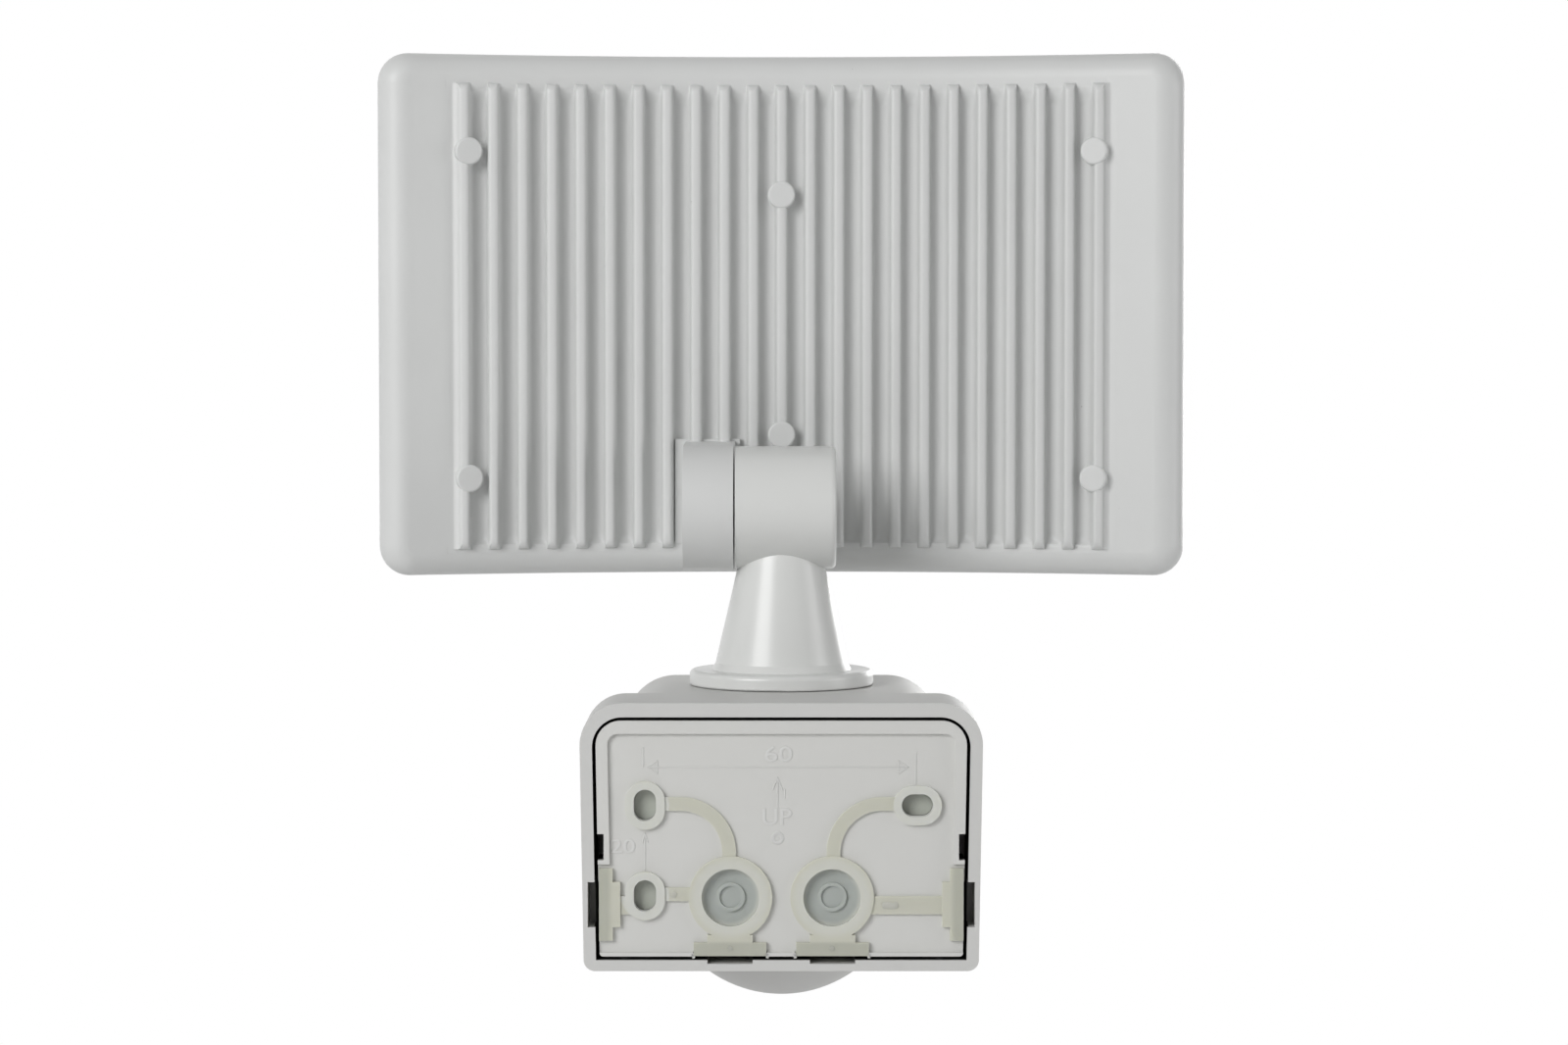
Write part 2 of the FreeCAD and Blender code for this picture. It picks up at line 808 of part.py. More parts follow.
def make_wall_plate():
    body = new_body("wall_plate")
    outline = new_sketch(body, "XZ_Plane", lift=S.plate_back)
    rim_outline(outline, PLATE_SINK, PLATE_TOP, PLATE_FOOT)
    pad(body, outline, S.plate_skirt - S.plate_back)
    soften(body, S.plate_corner, lambda edge: runs_along(edge, "y") and lies_at(edge, z=PLATE_TOP))
    soften(body, S.plate_foot_corner, lambda edge: runs_along(edge, "y") and lies_at(edge, z=-PLATE_FOOT))
    tray = new_sketch(body, "XZ_Plane", lift=S.plate_skirt)
    wall = S.skirt_wall
    rim_outline(tray, PLATE_SINK + wall, PLATE_TOP - wall, PLATE_FOOT - wall)
    cut_back(body, tray, S.plate_skirt - PLATE_FRONT)
    field = new_sketch(body, "XZ_Plane", lift=S.plate_back)
    inner = box_half(PLATE_TOP, PLATE_SINK + S.border_side)
    inner_foot = box_half(-S.border_end_drop, PLATE_SINK + S.border_side)
    beyond = S.box_half_top
    trace(
        field,
        (-beyond, S.border_foot - PLATE_FOOT),
        (beyond, S.border_foot - PLATE_FOOT),
        (beyond, -S.border_end_drop),
        (inner_foot, -S.border_end_drop),
        (inner, PLATE_TOP - S.border_top),
        (-inner, PLATE_TOP - S.border_top),
        (-inner_foot, -S.border_end_drop),
        (-beyond, -S.border_end_drop),
    )
    cut_on(body, field, S.plate_recess)
    soften(
        body,
        S.border_corner,
        lambda edge: runs_along(edge, "y") and lies_at(edge, z=PLATE_TOP - S.border_top),
    )
    lip_gaps = new_sketch(body, "XZ_Plane", lift=S.plate_back)
    for side in (-1, 1):
        middle = S.knock_foot_place * side
        half = S.knock_length / 2 + S.edge_seal_over + S.ring_clear
        block(lip_gaps, middle - half, middle + half, -S.box_foot, S.border_foot - PLATE_FOOT)
    cut_on(body, lip_gaps, S.plate_recess)
    holes = new_sketch(body, "XZ_Plane", lift=S.plate_back)
    reach = S.slot_length / 2 - S.slot_radius
    for side, drops in SLOT_DROPS.items():
        for drop in drops:
            slot(holes, SLOT_PLACE * side, -drop, S.slot_radius, reach, side > 0)
    for side in (-1, 1):
        ring(holes, S.cable_place * side, -S.cable_drop, S.cable_hole_radius)
    cut_on(body, holes, S.plate_skirt)
    notches = new_sketch(body, "XZ_Plane", lift=S.plate_back)
    low = -S.knock_side_drop - S.knock_length / 2
    high = -S.knock_side_drop + S.knock_length / 2
    notch_inner = box_half(-S.knock_side_drop, PLATE_SINK + S.notch_bite)
    notch_sill = S.notch_foot_bite - PLATE_FOOT
    block(notches, notch_inner, beyond, low, high)
    block(notches, -beyond, -notch_inner, low, high)
    for side in (-1, 1):
        middle = S.knock_foot_place * side
        half = S.knock_length / 2
        block(notches, middle - half, middle + half, -S.box_foot, notch_sill)
    hook_inner = box_half(-S.hook_top_drop, PLATE_SINK + S.hook_bite)
    block(notches, hook_inner, beyond, -S.hook_foot_drop, -S.hook_top_drop)
    block(notches, -beyond, -hook_inner, -S.hook_foot_drop, -S.hook_top_drop)
    cut_on(body, notches, S.plate_skirt)
    lugs = new_sketch(body, "XY_Plane", lift=-PLATE_FOOT)
    for side in (-1, 1):
        ring(lugs, S.housing_screw_place * side, -S.housing_screw_depth, S.screw_head)
    pad(body, lugs, LUG_HEIGHT)
    pilots = new_sketch(body, "XY_Plane", lift=-PLATE_FOOT)
    for side in (-1, 1):
        ring(pilots, S.housing_screw_place * side, -S.housing_screw_depth, SCREW_BORE)
    cut_on(body, pilots, LUG_HEIGHT)
    return body


def make_plate_seal(label, side):
    """One side's soft moulding: slot rings, a cable membrane, runners and the edge seals."""
    body = new_body(label)
    reach = S.slot_length / 2 - S.slot_radius
    bore = S.slot_radius + S.ring_clear
    half = S.runner_width / 2
    clear = S.ring_clear
    rings = new_sketch(body, "XZ_Plane", lift=S.seal_back)
    for drop in SLOT_DROPS[side]:
        slot(rings, SLOT_PLACE * side, -drop, bore + S.ring_width, reach, side > 0)
        slot(rings, SLOT_PLACE * side, -drop, bore, reach, side > 0)
    ring(rings, S.cable_place * side, -S.cable_drop, S.cable_ring_radius)
    pad(body, rings, PLATE_FACE - S.seal_back)
    plug = new_sketch(body, "XZ_Plane", lift=PLATE_FACE)
    ring(plug, S.cable_place * side, -S.cable_drop, S.cable_hole_radius - clear / 2)
    pad(body, plug, S.plate_thick)
    well = new_sketch(body, "XZ_Plane", lift=S.seal_back)
    ring(well, S.cable_place * side, -S.cable_drop, S.cable_radius)
    cut_on(body, well, S.membrane_depth - S.seal_back)
    far_well = new_sketch(body, "XZ_Plane", lift=PLATE_FRONT)
    ring(far_well, S.cable_place * side, -S.cable_drop, S.cable_radius)
    cut_back(body, far_well, PLATE_FRONT - S.membrane_depth - S.membrane_thick)
    nipple = new_sketch(body, "XZ_Plane", lift=S.membrane_depth - S.nipple_height)
    ring(nipple, S.cable_place * side, -S.cable_drop, S.nipple_radius, S.nipple_bore)
    pad(body, nipple, S.nipple_height)
    runner = new_sketch(body, "XZ_Plane", lift=S.runner_back)
    bend_x = S.runner_bend_place * side
    ring_x = (SLOT_PLACE - S.slot_radius - half) * side
    wide, tight = S.runner_bend + half, S.runner_bend - half
    low = S.cable_radius + half - S.cable_drop
    trace(
        runner,
        (ring_x, wide - S.runner_bend_drop),
        (bend_x, wide - S.runner_bend_drop, Bend(wide, side > 0)),
        (bend_x - wide * side, -S.runner_bend_drop),
        (bend_x - wide * side, low),
        (bend_x - tight * side, low),
        (bend_x - tight * side, -S.runner_bend_drop, Bend(tight, side < 0)),
        (bend_x, tight - S.runner_bend_drop),
        (ring_x, tight - S.runner_bend_drop),
    )
    pad(body, runner, PLATE_FACE - S.runner_back)
    strips = new_sketch(body, "XZ_Plane", lift=S.runner_back)
    from_cable = S.cable_place + S.cable_radius + half
    wide_low = -S.wide_runner_drop - S.wide_runner_width / 2
    wide_high = S.wide_runner_width / 2 - S.wide_runner_drop
    if side > 0:
        to_slot = SLOT_PLACE - S.slot_radius - half / 2
        block(strips, from_cable, to_slot, -S.low_runner_drop - half, half - S.low_runner_drop)
        block(strips, SLOT_PLACE + S.slot_radius + half / 2, EDGE_SEAL_IN, wide_low, wide_high)
    else:
        block(strips, -EDGE_SEAL_IN, -from_cable, wide_low, wide_high)
    pad(body, strips, PLATE_FACE - S.runner_back)
    low = -S.knock_side_drop - S.knock_length / 2
    high = -S.knock_side_drop + S.knock_length / 2
    over, step = S.edge_seal_over, S.edge_seal_step
    edge_in = EDGE_SEAL_IN * side
    edge_out = (EDGE_SEAL_IN + S.edge_seal_width) * side
    edge = new_sketch(body, "XZ_Plane", lift=S.seal_back)
    trace(
        edge,
        (edge_in, low - over),
        (edge_out, low - over),
        (edge_out, high + over),
        (edge_in, high + over),
        (edge_in, high),
        (edge_in - step * side, high),
        (edge_in - step * side, low),
        (edge_in, low),
    )
    pad(body, edge, PLATE_FACE - S.seal_back)
    web = new_sketch(body, "XZ_Plane", lift=S.seal_back)
    web_in = edge_out - S.skirt_wall * side
    trace(
        web,
        (web_in, low + clear),
        (edge_out, low + clear),
        (edge_out, high - clear),
        (web_in, high - clear),
    )
    pad(body, web, S.plate_skirt - S.seal_back)
    sill = clear - PLATE_FOOT
    shelf = sill + S.edge_seal_width
    middle = S.knock_foot_place * side
    half_knock = S.knock_length / 2
    foot = new_sketch(body, "XZ_Plane", lift=S.seal_back)
    trace(
        foot,
        (middle - half_knock - over, sill),
        (middle + half_knock + over, sill),
        (middle + half_knock + over, shelf),
        (middle + half_knock, shelf),
        (middle + half_knock, shelf + step),
        (middle - half_knock, shelf + step),
        (middle - half_knock, shelf),
        (middle - half_knock - over, shelf),
    )
    pad(body, foot, PLATE_FACE - S.seal_back)
    foot_web = new_sketch(body, "XZ_Plane", lift=S.seal_back)
    block(foot_web, middle - half_knock + clear, middle + half_knock - clear, sill, sill + S.skirt_wall)
    pad(body, foot_web, S.plate_skirt - S.seal_back)
    return body


def make_sensor_lens():
    body = new_body("sensor_lens")
    shell = dome_sketch(body)
    inner = S.dome_radius - S.lens_wall
    lip = LENS_LIP_RADIUS
    lip_in = lip - S.lens_wall
    trace(
        shell,
        (S.lens_lip, -lip_in),
        (S.lens_lip, -lip),
        (-S.lens_gap, -lip),
        (-S.lens_gap, -leg(S.dome_radius, S.lens_gap), Bend(S.dome_radius, False)),
        (-S.dome_radius, 0),
        (-inner, 0, Bend(inner)),
        (-S.lens_root, -leg(inner, S.lens_root)),
        (-S.lens_root, -lip_in),
    )
    turned(body, "Revolution", shell, "H_Axis")
    return body


def make_sensor_holder():
    body = new_body("sensor_holder")
    disc = new_sketch(body, "XZ_Plane", lift=HOLDER_BACK)
    ring(disc, 0, -S.dome_drop, LENS_LIP_RADIUS - S.lens_wall)
    pad(body, disc, S.holder_thick)
    ears = new_sketch(body, "XZ_Plane", lift=HOLDER_BACK)
    block(ears, -S.holder_half, S.holder_half, -S.holder_foot, S.holder_top)
    pad(body, ears, S.holder_thick)
    holes = new_sketch(body, "XZ_Plane", lift=HOLDER_BACK)
    ring(holes, 0, -S.dome_drop, S.holder_hole)
    for side in (-1, 1):
        ring(holes, S.holder_boss_place * side, S.holder_boss_rise, SCREW_BORE)
    cut_on(body, holes, S.holder_thick)
    return body


def make_electronics():
    """The boards and what stands on them, in the order of their names."""
    board = new_body("control_board")
    outline = new_sketch(board, "XZ_Plane", lift=BOARD_BACK)
    block(outline, -S.board_half, S.board_half, -S.board_foot, S.board_top)
    for side in (-1, 1):
        for height in (S.boss_rise, -S.boss_drop):
            ring(outline, S.boss_place * side, height, SCREW_BORE)
    pad(board, outline, S.board_thick)
    board_screws = group(
        "board_screws",
        [
            screw(S.boss_place * side, -BOARD_BACK, height, "-y", S.board_thick + S.boss_height)
            for side in (-1, 1)
            for height in (S.boss_rise, -S.boss_drop)
        ],
    )
    front = -BOARD_FRONT
    middle = -S.relay_tall / 2
    relay = named(box(S.relay_width, S.relay_height, S.relay_tall, -S.relay_place, front, middle), "relay")
    coil = named(box(S.coil_width, S.coil_height, S.coil_tall, S.coil_place, front, middle), "transformer")
    capacitor = named(
        cylinder(S.capacitor_radius, S.capacitor_height, 0, front, middle, axis="-y"), "capacitor"
    )
    pots = []
    for side in (-1, 1):
        case = box(S.pot_width, S.pot_height, S.pot_tall, S.dial_place * side, front, -S.pot_drop)
        hole = cylinder(S.dial_stem + S.dial_clear, S.pot_tall, S.dial_place * side, -S.dial_depth,
                        -S.pot_drop - S.pot_tall / 2)
        pots.append(cut(case, hole))
    sensor_board = new_body("sensor_board")
    disc = new_sketch(sensor_board, "XZ_Plane", lift=HOLDER_BACK - S.board_thick)
    ring(disc, 0, -S.dome_drop, S.sensor_board_radius)
    pad(sensor_board, disc, S.board_thick)
    pir = new_body("pir_detector")
    can = new_sketch(pir, "XZ_Plane", lift=HOLDER_BACK)
    ring(can, 0, -S.dome_drop, S.pir_radius)
    pad(pir, can, S.pir_height)
    soften(pir, S.small_round, lambda edge: lies_at(edge, y=-(HOLDER_BACK + S.pir_height)))
    holder_screws = group(
        "holder_screws",
        [
            screw(S.holder_boss_place * side, -HOLDER_BACK, S.holder_boss_rise, "-y")
            for side in (-1, 1)
        ],
    )
    potentiometers = group("potentiometers", pots)
    return [board, board_screws, relay, coil, capacitor, potentiometers, sensor_board, pir, holder_screws]


def make_terminals():
    """A screw terminal block on the plate's front, with one screw for each wire."""
    body = new_body("terminal_block")
    outline = new_sketch(body, "XZ_Plane", lift=PLATE_FRONT)
    half = S.terminal_width / 2
    low = S.terminal_rise - S.terminal_tall / 2
    high = S.terminal_rise + S.terminal_tall / 2
    block(outline, -half, half, low, high)
    pad(body, outline, S.terminal_height)
    soften(body, S.small_round, lambda edge: runs_along(edge, "y"))
    pitch = S.terminal_width / S.terminal_count
    wells = new_sketch(body, "XZ_Plane", lift=PLATE_FRONT + S.terminal_height)
    entries = new_sketch(body, "XY_Plane", lift=low)
    for number in range(SIZES["terminal_count"]):
        x = pitch * (number + 0.5) - half
        ring(wells, x, S.terminal_rise, S.screw_head + S.screw_clear)
        ring(entries, x, -(PLATE_FRONT + S.terminal_entry_radius + S.screw_clear), S.terminal_entry_radius)
    cut_back(body, wells, S.terminal_height / 2)
    cut_on(body, entries, S.terminal_tall / 2)
    seat = PLATE_FRONT + S.terminal_height / 2
    heads = []
    for number in range(SIZES["terminal_count"]):
        x = pitch * (number + 0.5) - half
        heads.append(cylinder(S.screw_head, S.screw_head_thick, x, -seat, S.terminal_rise, "-y"))
    return [body, group("terminal_screws", heads)]


def make_housing_screws():
    """Countersunk screws, flush with the underside of the housing."""
    screws = []
    for side in (-1, 1):
        spot = (S.housing_screw_place * side, -S.housing_screw_depth)
        head = doc.addObject("Part::Cone", "Cone")
        bind(head, "Radius1", S.screw_head)
        bind(head, "Radius2", S.screw_radius)
        bind(head, "Height", S.countersink_deep)
        place(head, *spot, -S.box_foot)
        top = S.countersink_deep - S.box_foot
        shank = cylinder(S.screw_radius, S.screw_length - S.countersink_deep, *spot, top)
        screws.append(fuse(head, shank))
    return group("housing_screws", screws)


def make_dial(label, side):
    """An adjuster: a slotted knob in the housing's floor, a collar above it and a stem."""
    body = new_body(label, S.dial_place * side, -S.dial_depth, -S.box_foot)
    section = new_sketch(body, "XZ_Plane")
    collar_foot = S.foot_wall + S.washer_gap
    collar_top = collar_foot + S.dial_collar_thick
    stem_top = S.box_foot - S.pot_drop
    trace(
        section,
        (0, -S.dial_proud),
        (S.dial_radius, -S.dial_proud),
        (S.dial_radius, collar_foot),
        (S.dial_radius + S.dial_collar, collar_foot),
        (S.dial_radius + S.dial_collar, collar_top),
        (S.dial_stem, collar_top),
        (S.dial_stem, stem_top),
        (0, stem_top),
    )
    turned(body, "Revolution", section)
    groove = new_sketch(body, "XY_Plane", lift=-S.dial_proud)
    block(groove, -S.dial_slot_half, S.dial_slot_half, -S.dial_slot / 2, S.dial_slot / 2)
    cut_on(body, groove, S.dial_slot_deep)
    return body


def make_neck():
    body = new_body("neck", 0, -S.neck_depth)
    section = new_sketch(body, "XZ_Plane")
    cone_top = FLANGE_TOP + S.cone_height
    flare_top = FLANGE_TOP + S.cone_flare_height
    trace(
        section,
        (0, S.neck_foot),
        (S.spigot_radius, S.neck_foot),
        (S.spigot_radius, FLANGE_FOOT),
        (S.flange_radius, FLANGE_FOOT),
        (S.flange_radius, FLANGE_TOP),
        (S.cone_radius + S.cone_flare, FLANGE_TOP),
        (S.cone_radius, flare_top),
        (S.cone_top_radius, cone_top),
        (0, cone_top),
    )
    turned(body, "Revolution", section)
    soften(body, S.flange_round, lambda edge: is_round(edge, S.flange_radius) and lies_at(edge, z=FLANGE_TOP))
    soften(
        body,
        S.flange_foot_round,
        lambda edge: is_round(edge, S.flange_radius) and lies_at(edge, z=FLANGE_FOOT),
    )
    barrel = new_sketch(body, "YZ_Plane", lift=-S.barrel_far)
    ring(barrel, 0, S.tilt_height, S.barrel_radius)
    pad(body, barrel, S.barrel_far + BARREL_NEAR)
    soften(body, S.barrel_round, lambda edge: lies_at(edge, x=-S.barrel_far))
    barrel_room = new_sketch(body, "YZ_Plane", lift=-S.barrel_far)
    ring(barrel_room, 0, S.tilt_height, S.barrel_radius - S.barrel_wall)
    cut_on(body, barrel_room, S.barrel_far + BARREL_NEAR - S.hinge_wall)
    bolt_hole = new_sketch(body, "YZ_Plane", lift=BARREL_NEAR)
    ring(bolt_hole, 0, S.tilt_height, S.bolt_radius + S.bolt_clear)
    cut_back(body, bolt_hole, S.hinge_wall)
    duct = new_sketch(body, "XZ_Plane")
    trace(
        duct,
        (0, S.neck_foot),
        (S.spigot_radius - S.neck_wall, S.neck_foot),
        (S.spigot_radius - S.neck_wall, FLANGE_TOP),
        (S.cone_top_radius - S.neck_wall, S.tilt_height - S.barrel_radius + S.barrel_wall),
        (S.cone_top_radius - S.neck_wall, S.tilt_height),
        (0, S.tilt_height),
    )
    turned(body, "Groove", duct)
    groove = new_sketch(body, "XY_Plane", lift=FLANGE_FOOT)
    half = S.ring_seal_width / 2 + S.nut_clear
    ring(groove, 0, 0, S.ring_seal_radius + half, S.ring_seal_radius - half)
    cut_on(body, groove, S.ring_seal_deep)
    return body


def make_neck_fittings():
    seal = new_body("swivel_seal", 0, -S.neck_depth)
    seal_sketch = new_sketch(seal, "XY_Plane", lift=S.box_top + S.washer_gap / 2)
    half = S.ring_seal_width / 2
    ring(seal_sketch, 0, 0, S.ring_seal_radius + half, S.ring_seal_radius - half)
    pad(seal, seal_sketch, S.flange_gap + S.ring_seal_deep - S.washer_gap / 2)
    soften(seal, half / 2, lambda edge: lies_at(edge, z=S.box_top + S.washer_gap / 2))
    washer = new_body("swivel_washer", 0, -S.neck_depth)
    bore = S.spigot_radius + S.nut_clear
    washer_foot = SEAT_FOOT - S.washer_gap - S.washer_thick
    washer_sketch = new_sketch(washer, "XY_Plane", lift=washer_foot)
    ring(washer_sketch, 0, 0, S.seat_radius, bore)
    pad(washer, washer_sketch, S.washer_thick)
    nut = new_body("swivel_nut", 0, -S.neck_depth)
    nut_sketch = new_sketch(nut, "XY_Plane", lift=washer_foot - S.nut_height)
    hexagon(nut_sketch, S.nut_radius)
    ring(nut_sketch, 0, 0, bore)
    pad(nut, nut_sketch, S.nut_height)
    cap = new_body("barrel_cap", 0, -S.neck_depth)
    cap_sketch = new_sketch(cap, "YZ_Plane", lift=-S.barrel_far + S.cap_gap)
    ring(cap_sketch, 0, S.tilt_height, S.barrel_radius - S.barrel_wall - S.cap_gap)
    pad(cap, cap_sketch, S.cap_thick)
    return [seal, washer, nut, cap]


def hexagon(sketch, radius):
    """A hexagon with one corner on the sketch's right-hand axis."""
    corners = [(radius * cosine(60 * step), radius * sine(60 * step)) for step in range(6)]
    trace(sketch, *corners)


def curved(sketch, near, far, half):
    """A slab bent about the sketch's origin between two radii, with straight sides."""
    trace(
        sketch,
        (-half, -leg(near, half)),
        (-half, -leg(far, half), Bend(far)),
        (half, -leg(far, half)),
        (half, -leg(near, half), Bend(near, False)),
    )


def head_body(label):
    """A body whose own origin is the tilt axis in the middle plane."""
    return new_body(label, 0, -S.neck_depth, S.tilt_height)


def bent_sketch(body, lift):
    """A level sketch whose origin is the centre of the head's curve."""
    return new_sketch(body, "XY_Plane", lift=lift, up=CURVE_CENTRE)


def facing_sketch(body, radius, turn):
    """A sketch square to the head's curve: its plane is at a radius, turned round the centre."""
    away = -CURVE_CENTRE + radius * cosine(turn)
    return new_sketch(body, "XZ_Plane", lift=away, right=radius * sine(turn), turn=turn)


def fin_side(middle, side, outermost):
    """One side of a fin: where its root ends, how high, and the stops from there up to its flank."""
    half = S.fin_width / 2
    if outermost:
        place = middle + (half + S.fin_side_reach) * side
        floor = -leg(S.head_curve, place)
        return place, [(place, floor, S.fin_side_root)]
    place = middle + S.fin_pitch / 2 * side
    floor = -leg(VALLEY_RADIUS, place)
    flank = place - S.fin_root * cosine(S.fin_draft) * side
    rise = floor + S.fin_root - S.fin_root * sine(S.fin_draft)
    return place, [(place, floor, S.fin_root), (flank, rise)]


def fin_outline(sketch, number):
    """One fin seen from above: a flat tip, drafted flanks and hollow roots down to the valley floors."""
    middle = S.fin_pitch * (number - (S.fin_count - 1) / 2)
    half = S.fin_width / 2
    tip = -leg(FIN_TIP_RADIUS, middle)
    shoulder = tip - S.fin_tip
    left, left_root = fin_side(middle, -1, number == 0)
    right, right_root = fin_side(middle, 1, number == SIZES["fin_count"] - 1)
    sunk = 2 * S.fin_sunk
    stops = [(left, -leg(VALLEY_RADIUS, left) - sunk), (right, -leg(VALLEY_RADIUS, right) - sunk)]
    x, y, root = right_root[0]
    stops.append((x, y, Bend(root, False)))
    stops += right_root[1:]
    stops += [
        (middle + half, shoulder, Bend(S.fin_tip)),
        (middle + half - S.fin_tip, tip),
        (middle - half + S.fin_tip, tip, Bend(S.fin_tip)),
    ]
    x, y, root = left_root[0]
    upper = [(middle - half, shoulder)] + left_root[1:]
    stops += upper[:-1]
    stops.append((*upper[-1], Bend(root, False)))
    stops.append((x, y))
    trace(sketch, *stops)


def make_head_housing():
    body = head_body("head_housing")
    slab = bent_sketch(body, -S.head_foot)
    curved(slab, S.head_curve, EDGE_RADIUS, S.head_half)
    pad(body, slab, S.head_height)
    room = bent_sketch(body, S.head_wall - S.head_foot)
    curved(room, FLOOR_RADIUS, EDGE_RADIUS + S.cut_over, S.head_half - S.head_wall)
    cut_on(body, room, S.head_height - 2 * S.head_wall)
    rebate = bent_sketch(body, REBATE_IN - S.head_foot)
    curved(rebate, LEDGE_RADIUS, EDGE_RADIUS + S.cut_over, S.head_half - REBATE_IN)
    cut_on(body, rebate, S.head_height - 2 * REBATE_IN)
    soften(body, S.head_corner - REBATE_IN, lambda edge: is_corner(edge, REBATE_IN))
    soften(body, S.room_corner, lambda edge: is_corner(edge, S.head_wall))
    soften(body, S.head_corner, lambda edge: is_corner(edge, 0))
    soften(body, S.head_round, lambda edge: on_curve(edge, S.head_curve))
    valley = bent_sketch(body, VALLEY_LOW)
    half = S.fin_pitch * (S.fin_count - 1) / 2
    trace(
        valley,
        (-half, -leg(FIN_TIP_RADIUS, half)),
        (-half, -leg(POCKET_RADIUS, half), Bend(POCKET_RADIUS)),
        (half, -leg(POCKET_RADIUS, half)),
        (half, -leg(FIN_TIP_RADIUS, half), Bend(FIN_TIP_RADIUS, False)),
    )
    cut_on(body, valley, VALLEY_HIGH - VALLEY_LOW)
    for height, radius, curve in (
        (VALLEY_HIGH, S.valley_ramp, POCKET_RADIUS),
        (VALLEY_HIGH, S.valley_top_round, S.head_curve),
        (VALLEY_LOW, S.valley_foot_round, POCKET_RADIUS),
    ):
        soften(body, radius, lambda edge: lies_at(edge, z=height) and on_curve(edge, curve))
    for turn, span in post_places():
        posts = facing_sketch(body, FIN_TIP_RADIUS - S.post_proud, turn)
        for side in (-1, 1):
            ring(posts, 0, HEAD_MIDDLE + span / 2 * side, S.post_radius)
        pad(body, posts, S.post_proud + VALLEY_RADIUS - FIN_TIP_RADIUS + S.head_skin / 2)
    soften(body, S.post_round, lambda edge: is_round(edge, S.post_radius))
    root = bent_sketch(body, VALLEY_LOW)
    near, far = S.pad_near, S.pad_far
    face = S.head_curve - S.pad_proud
    trace(
        root,
        (near, -leg(face, near)),
        (near, -leg(POCKET_RADIUS + S.knuckle_sunk, near)),
        (far, -leg(POCKET_RADIUS + S.knuckle_sunk, far)),
        (far, -leg(face, far), Bend(face, False)),
    )
    pad(body, root, S.knuckle_radius + S.pad_rise - VALLEY_LOW)
    foot, top = VALLEY_LOW - S.fin_over, VALLEY_HIGH + S.fin_over
    for number in range(SIZES["fin_count"]):
        fin = bent_sketch(body, foot)
        fin_outline(fin, number)
        pad(body, fin, top - foot)
    ends = new_sketch(body, "YZ_Plane", right=CURVE_CENTRE)
    beyond = S.cut_over - FIN_TIP_RADIUS
    for end, left in ((foot, False), (top, True)):
        inward = end - S.fin_proud if left else end + S.fin_proud
        trace(
            ends,
            (beyond, inward),
            (-FIN_TIP_RADIUS, inward, Bend(S.fin_proud, left)),
            (-S.head_curve, end),
            (beyond, end),
        )
    turned(body, "Groove", ends)
    knuckle = new_sketch(body, "YZ_Plane", lift=KNUCKLE_NEAR)
    reach = POCKET_RADIUS + S.knuckle_sunk - CURVE_CENTRE
    radius = S.knuckle_radius
    trace(
        knuckle,
        (-reach, -radius),
        (0, -radius, Bend(radius)),
        (radius, 0, Bend(radius)),
        (0, radius),
        (-reach, radius),
    )
    ring(knuckle, 0, 0, S.bolt_radius + S.nut_clear)
    pad(body, knuckle, S.knuckle_far - KNUCKLE_NEAR)
    bolt_seat = new_sketch(body, "YZ_Plane", lift=S.knuckle_far)
    ring(bolt_seat, 0, 0, S.bolt_head + S.bolt_clear)
    cut_back(body, bolt_seat, S.bolt_sink)
    for turn, span in post_places():
        pilots = facing_sketch(body, FLOOR_RADIUS, turn)
        for side in (-1, 1):
            ring(pilots, 0, HEAD_MIDDLE + span / 2 * side, S.screw_radius + S.nut_clear)
        cut_back(body, pilots, S.pilot_depth)
    return body


def post_places():
    """The turn of each column of posts about the curve's centre, and the height between its two."""
    return (
        (-S.post_turn, S.post_side_span),
        (0, S.post_mid_span),
        (S.post_turn, S.post_side_span),
    )


def make_led_board():
    body = head_body("led_board")
    plate = bent_sketch(body, HEAD_MIDDLE - S.led_board_tall / 2)
    curved(plate, LED_BOARD_RADIUS, LED_FACE_RADIUS, S.led_board_half)
    pad(body, plate, S.led_board_tall)
    for turn, span in post_places():
        holes = facing_sketch(body, LED_FACE_RADIUS + S.cut_over, turn)
        for side in (-1, 1):
            ring(holes, 0, HEAD_MIDDLE + span / 2 * side, SCREW_BORE)
        cut_back(body, holes, S.led_board_thick + 2 * S.cut_over)
    return body


def make_led_screws():
    body = head_body("led_screws")
    for turn, span in post_places():
        heads = facing_sketch(body, LED_FACE_RADIUS, turn)
        shanks = facing_sketch(body, LED_FACE_RADIUS, turn)
        for side in (-1, 1):
            height = HEAD_MIDDLE + span / 2 * side
            ring(heads, 0, height, S.screw_head)
            ring(shanks, 0, height, S.screw_radius)
        pad(body, heads, S.screw_head_thick)
        pad(body, shanks, S.led_screw_length, Reversed=True)
    return body


def make_led_chips():
    """Square chips in rows on the bent board, all from one column repeated round its curve."""
    body = head_body("led_chips")
    turn = -S.led_turn * (S.led_columns - 1) / 2
    half = S.led_size / 2
    column = []
    for row in range(SIZES["led_rows"]):
        height = HEAD_MIDDLE + S.led_pitch * (row - (SIZES["led_rows"] - 1) / 2)
        chip = new_sketch(body, "XY_Plane", lift=height - half, up=CURVE_CENTRE, turn=turn,
                          turn_axis=(0, 0, 1))
        block(chip, -half, half, -LED_FACE_RADIUS - S.led_thick, -LED_FACE_RADIUS)
        column.append(pad(body, chip, S.led_size))
    repeat(
        body,
        "PolarPattern",
        column,
        Axis=(chip, ["N_Axis"]),
        Angle=S.led_turn * (S.led_columns - 1),
        Occurrences=S.led_columns,
    )
    return body


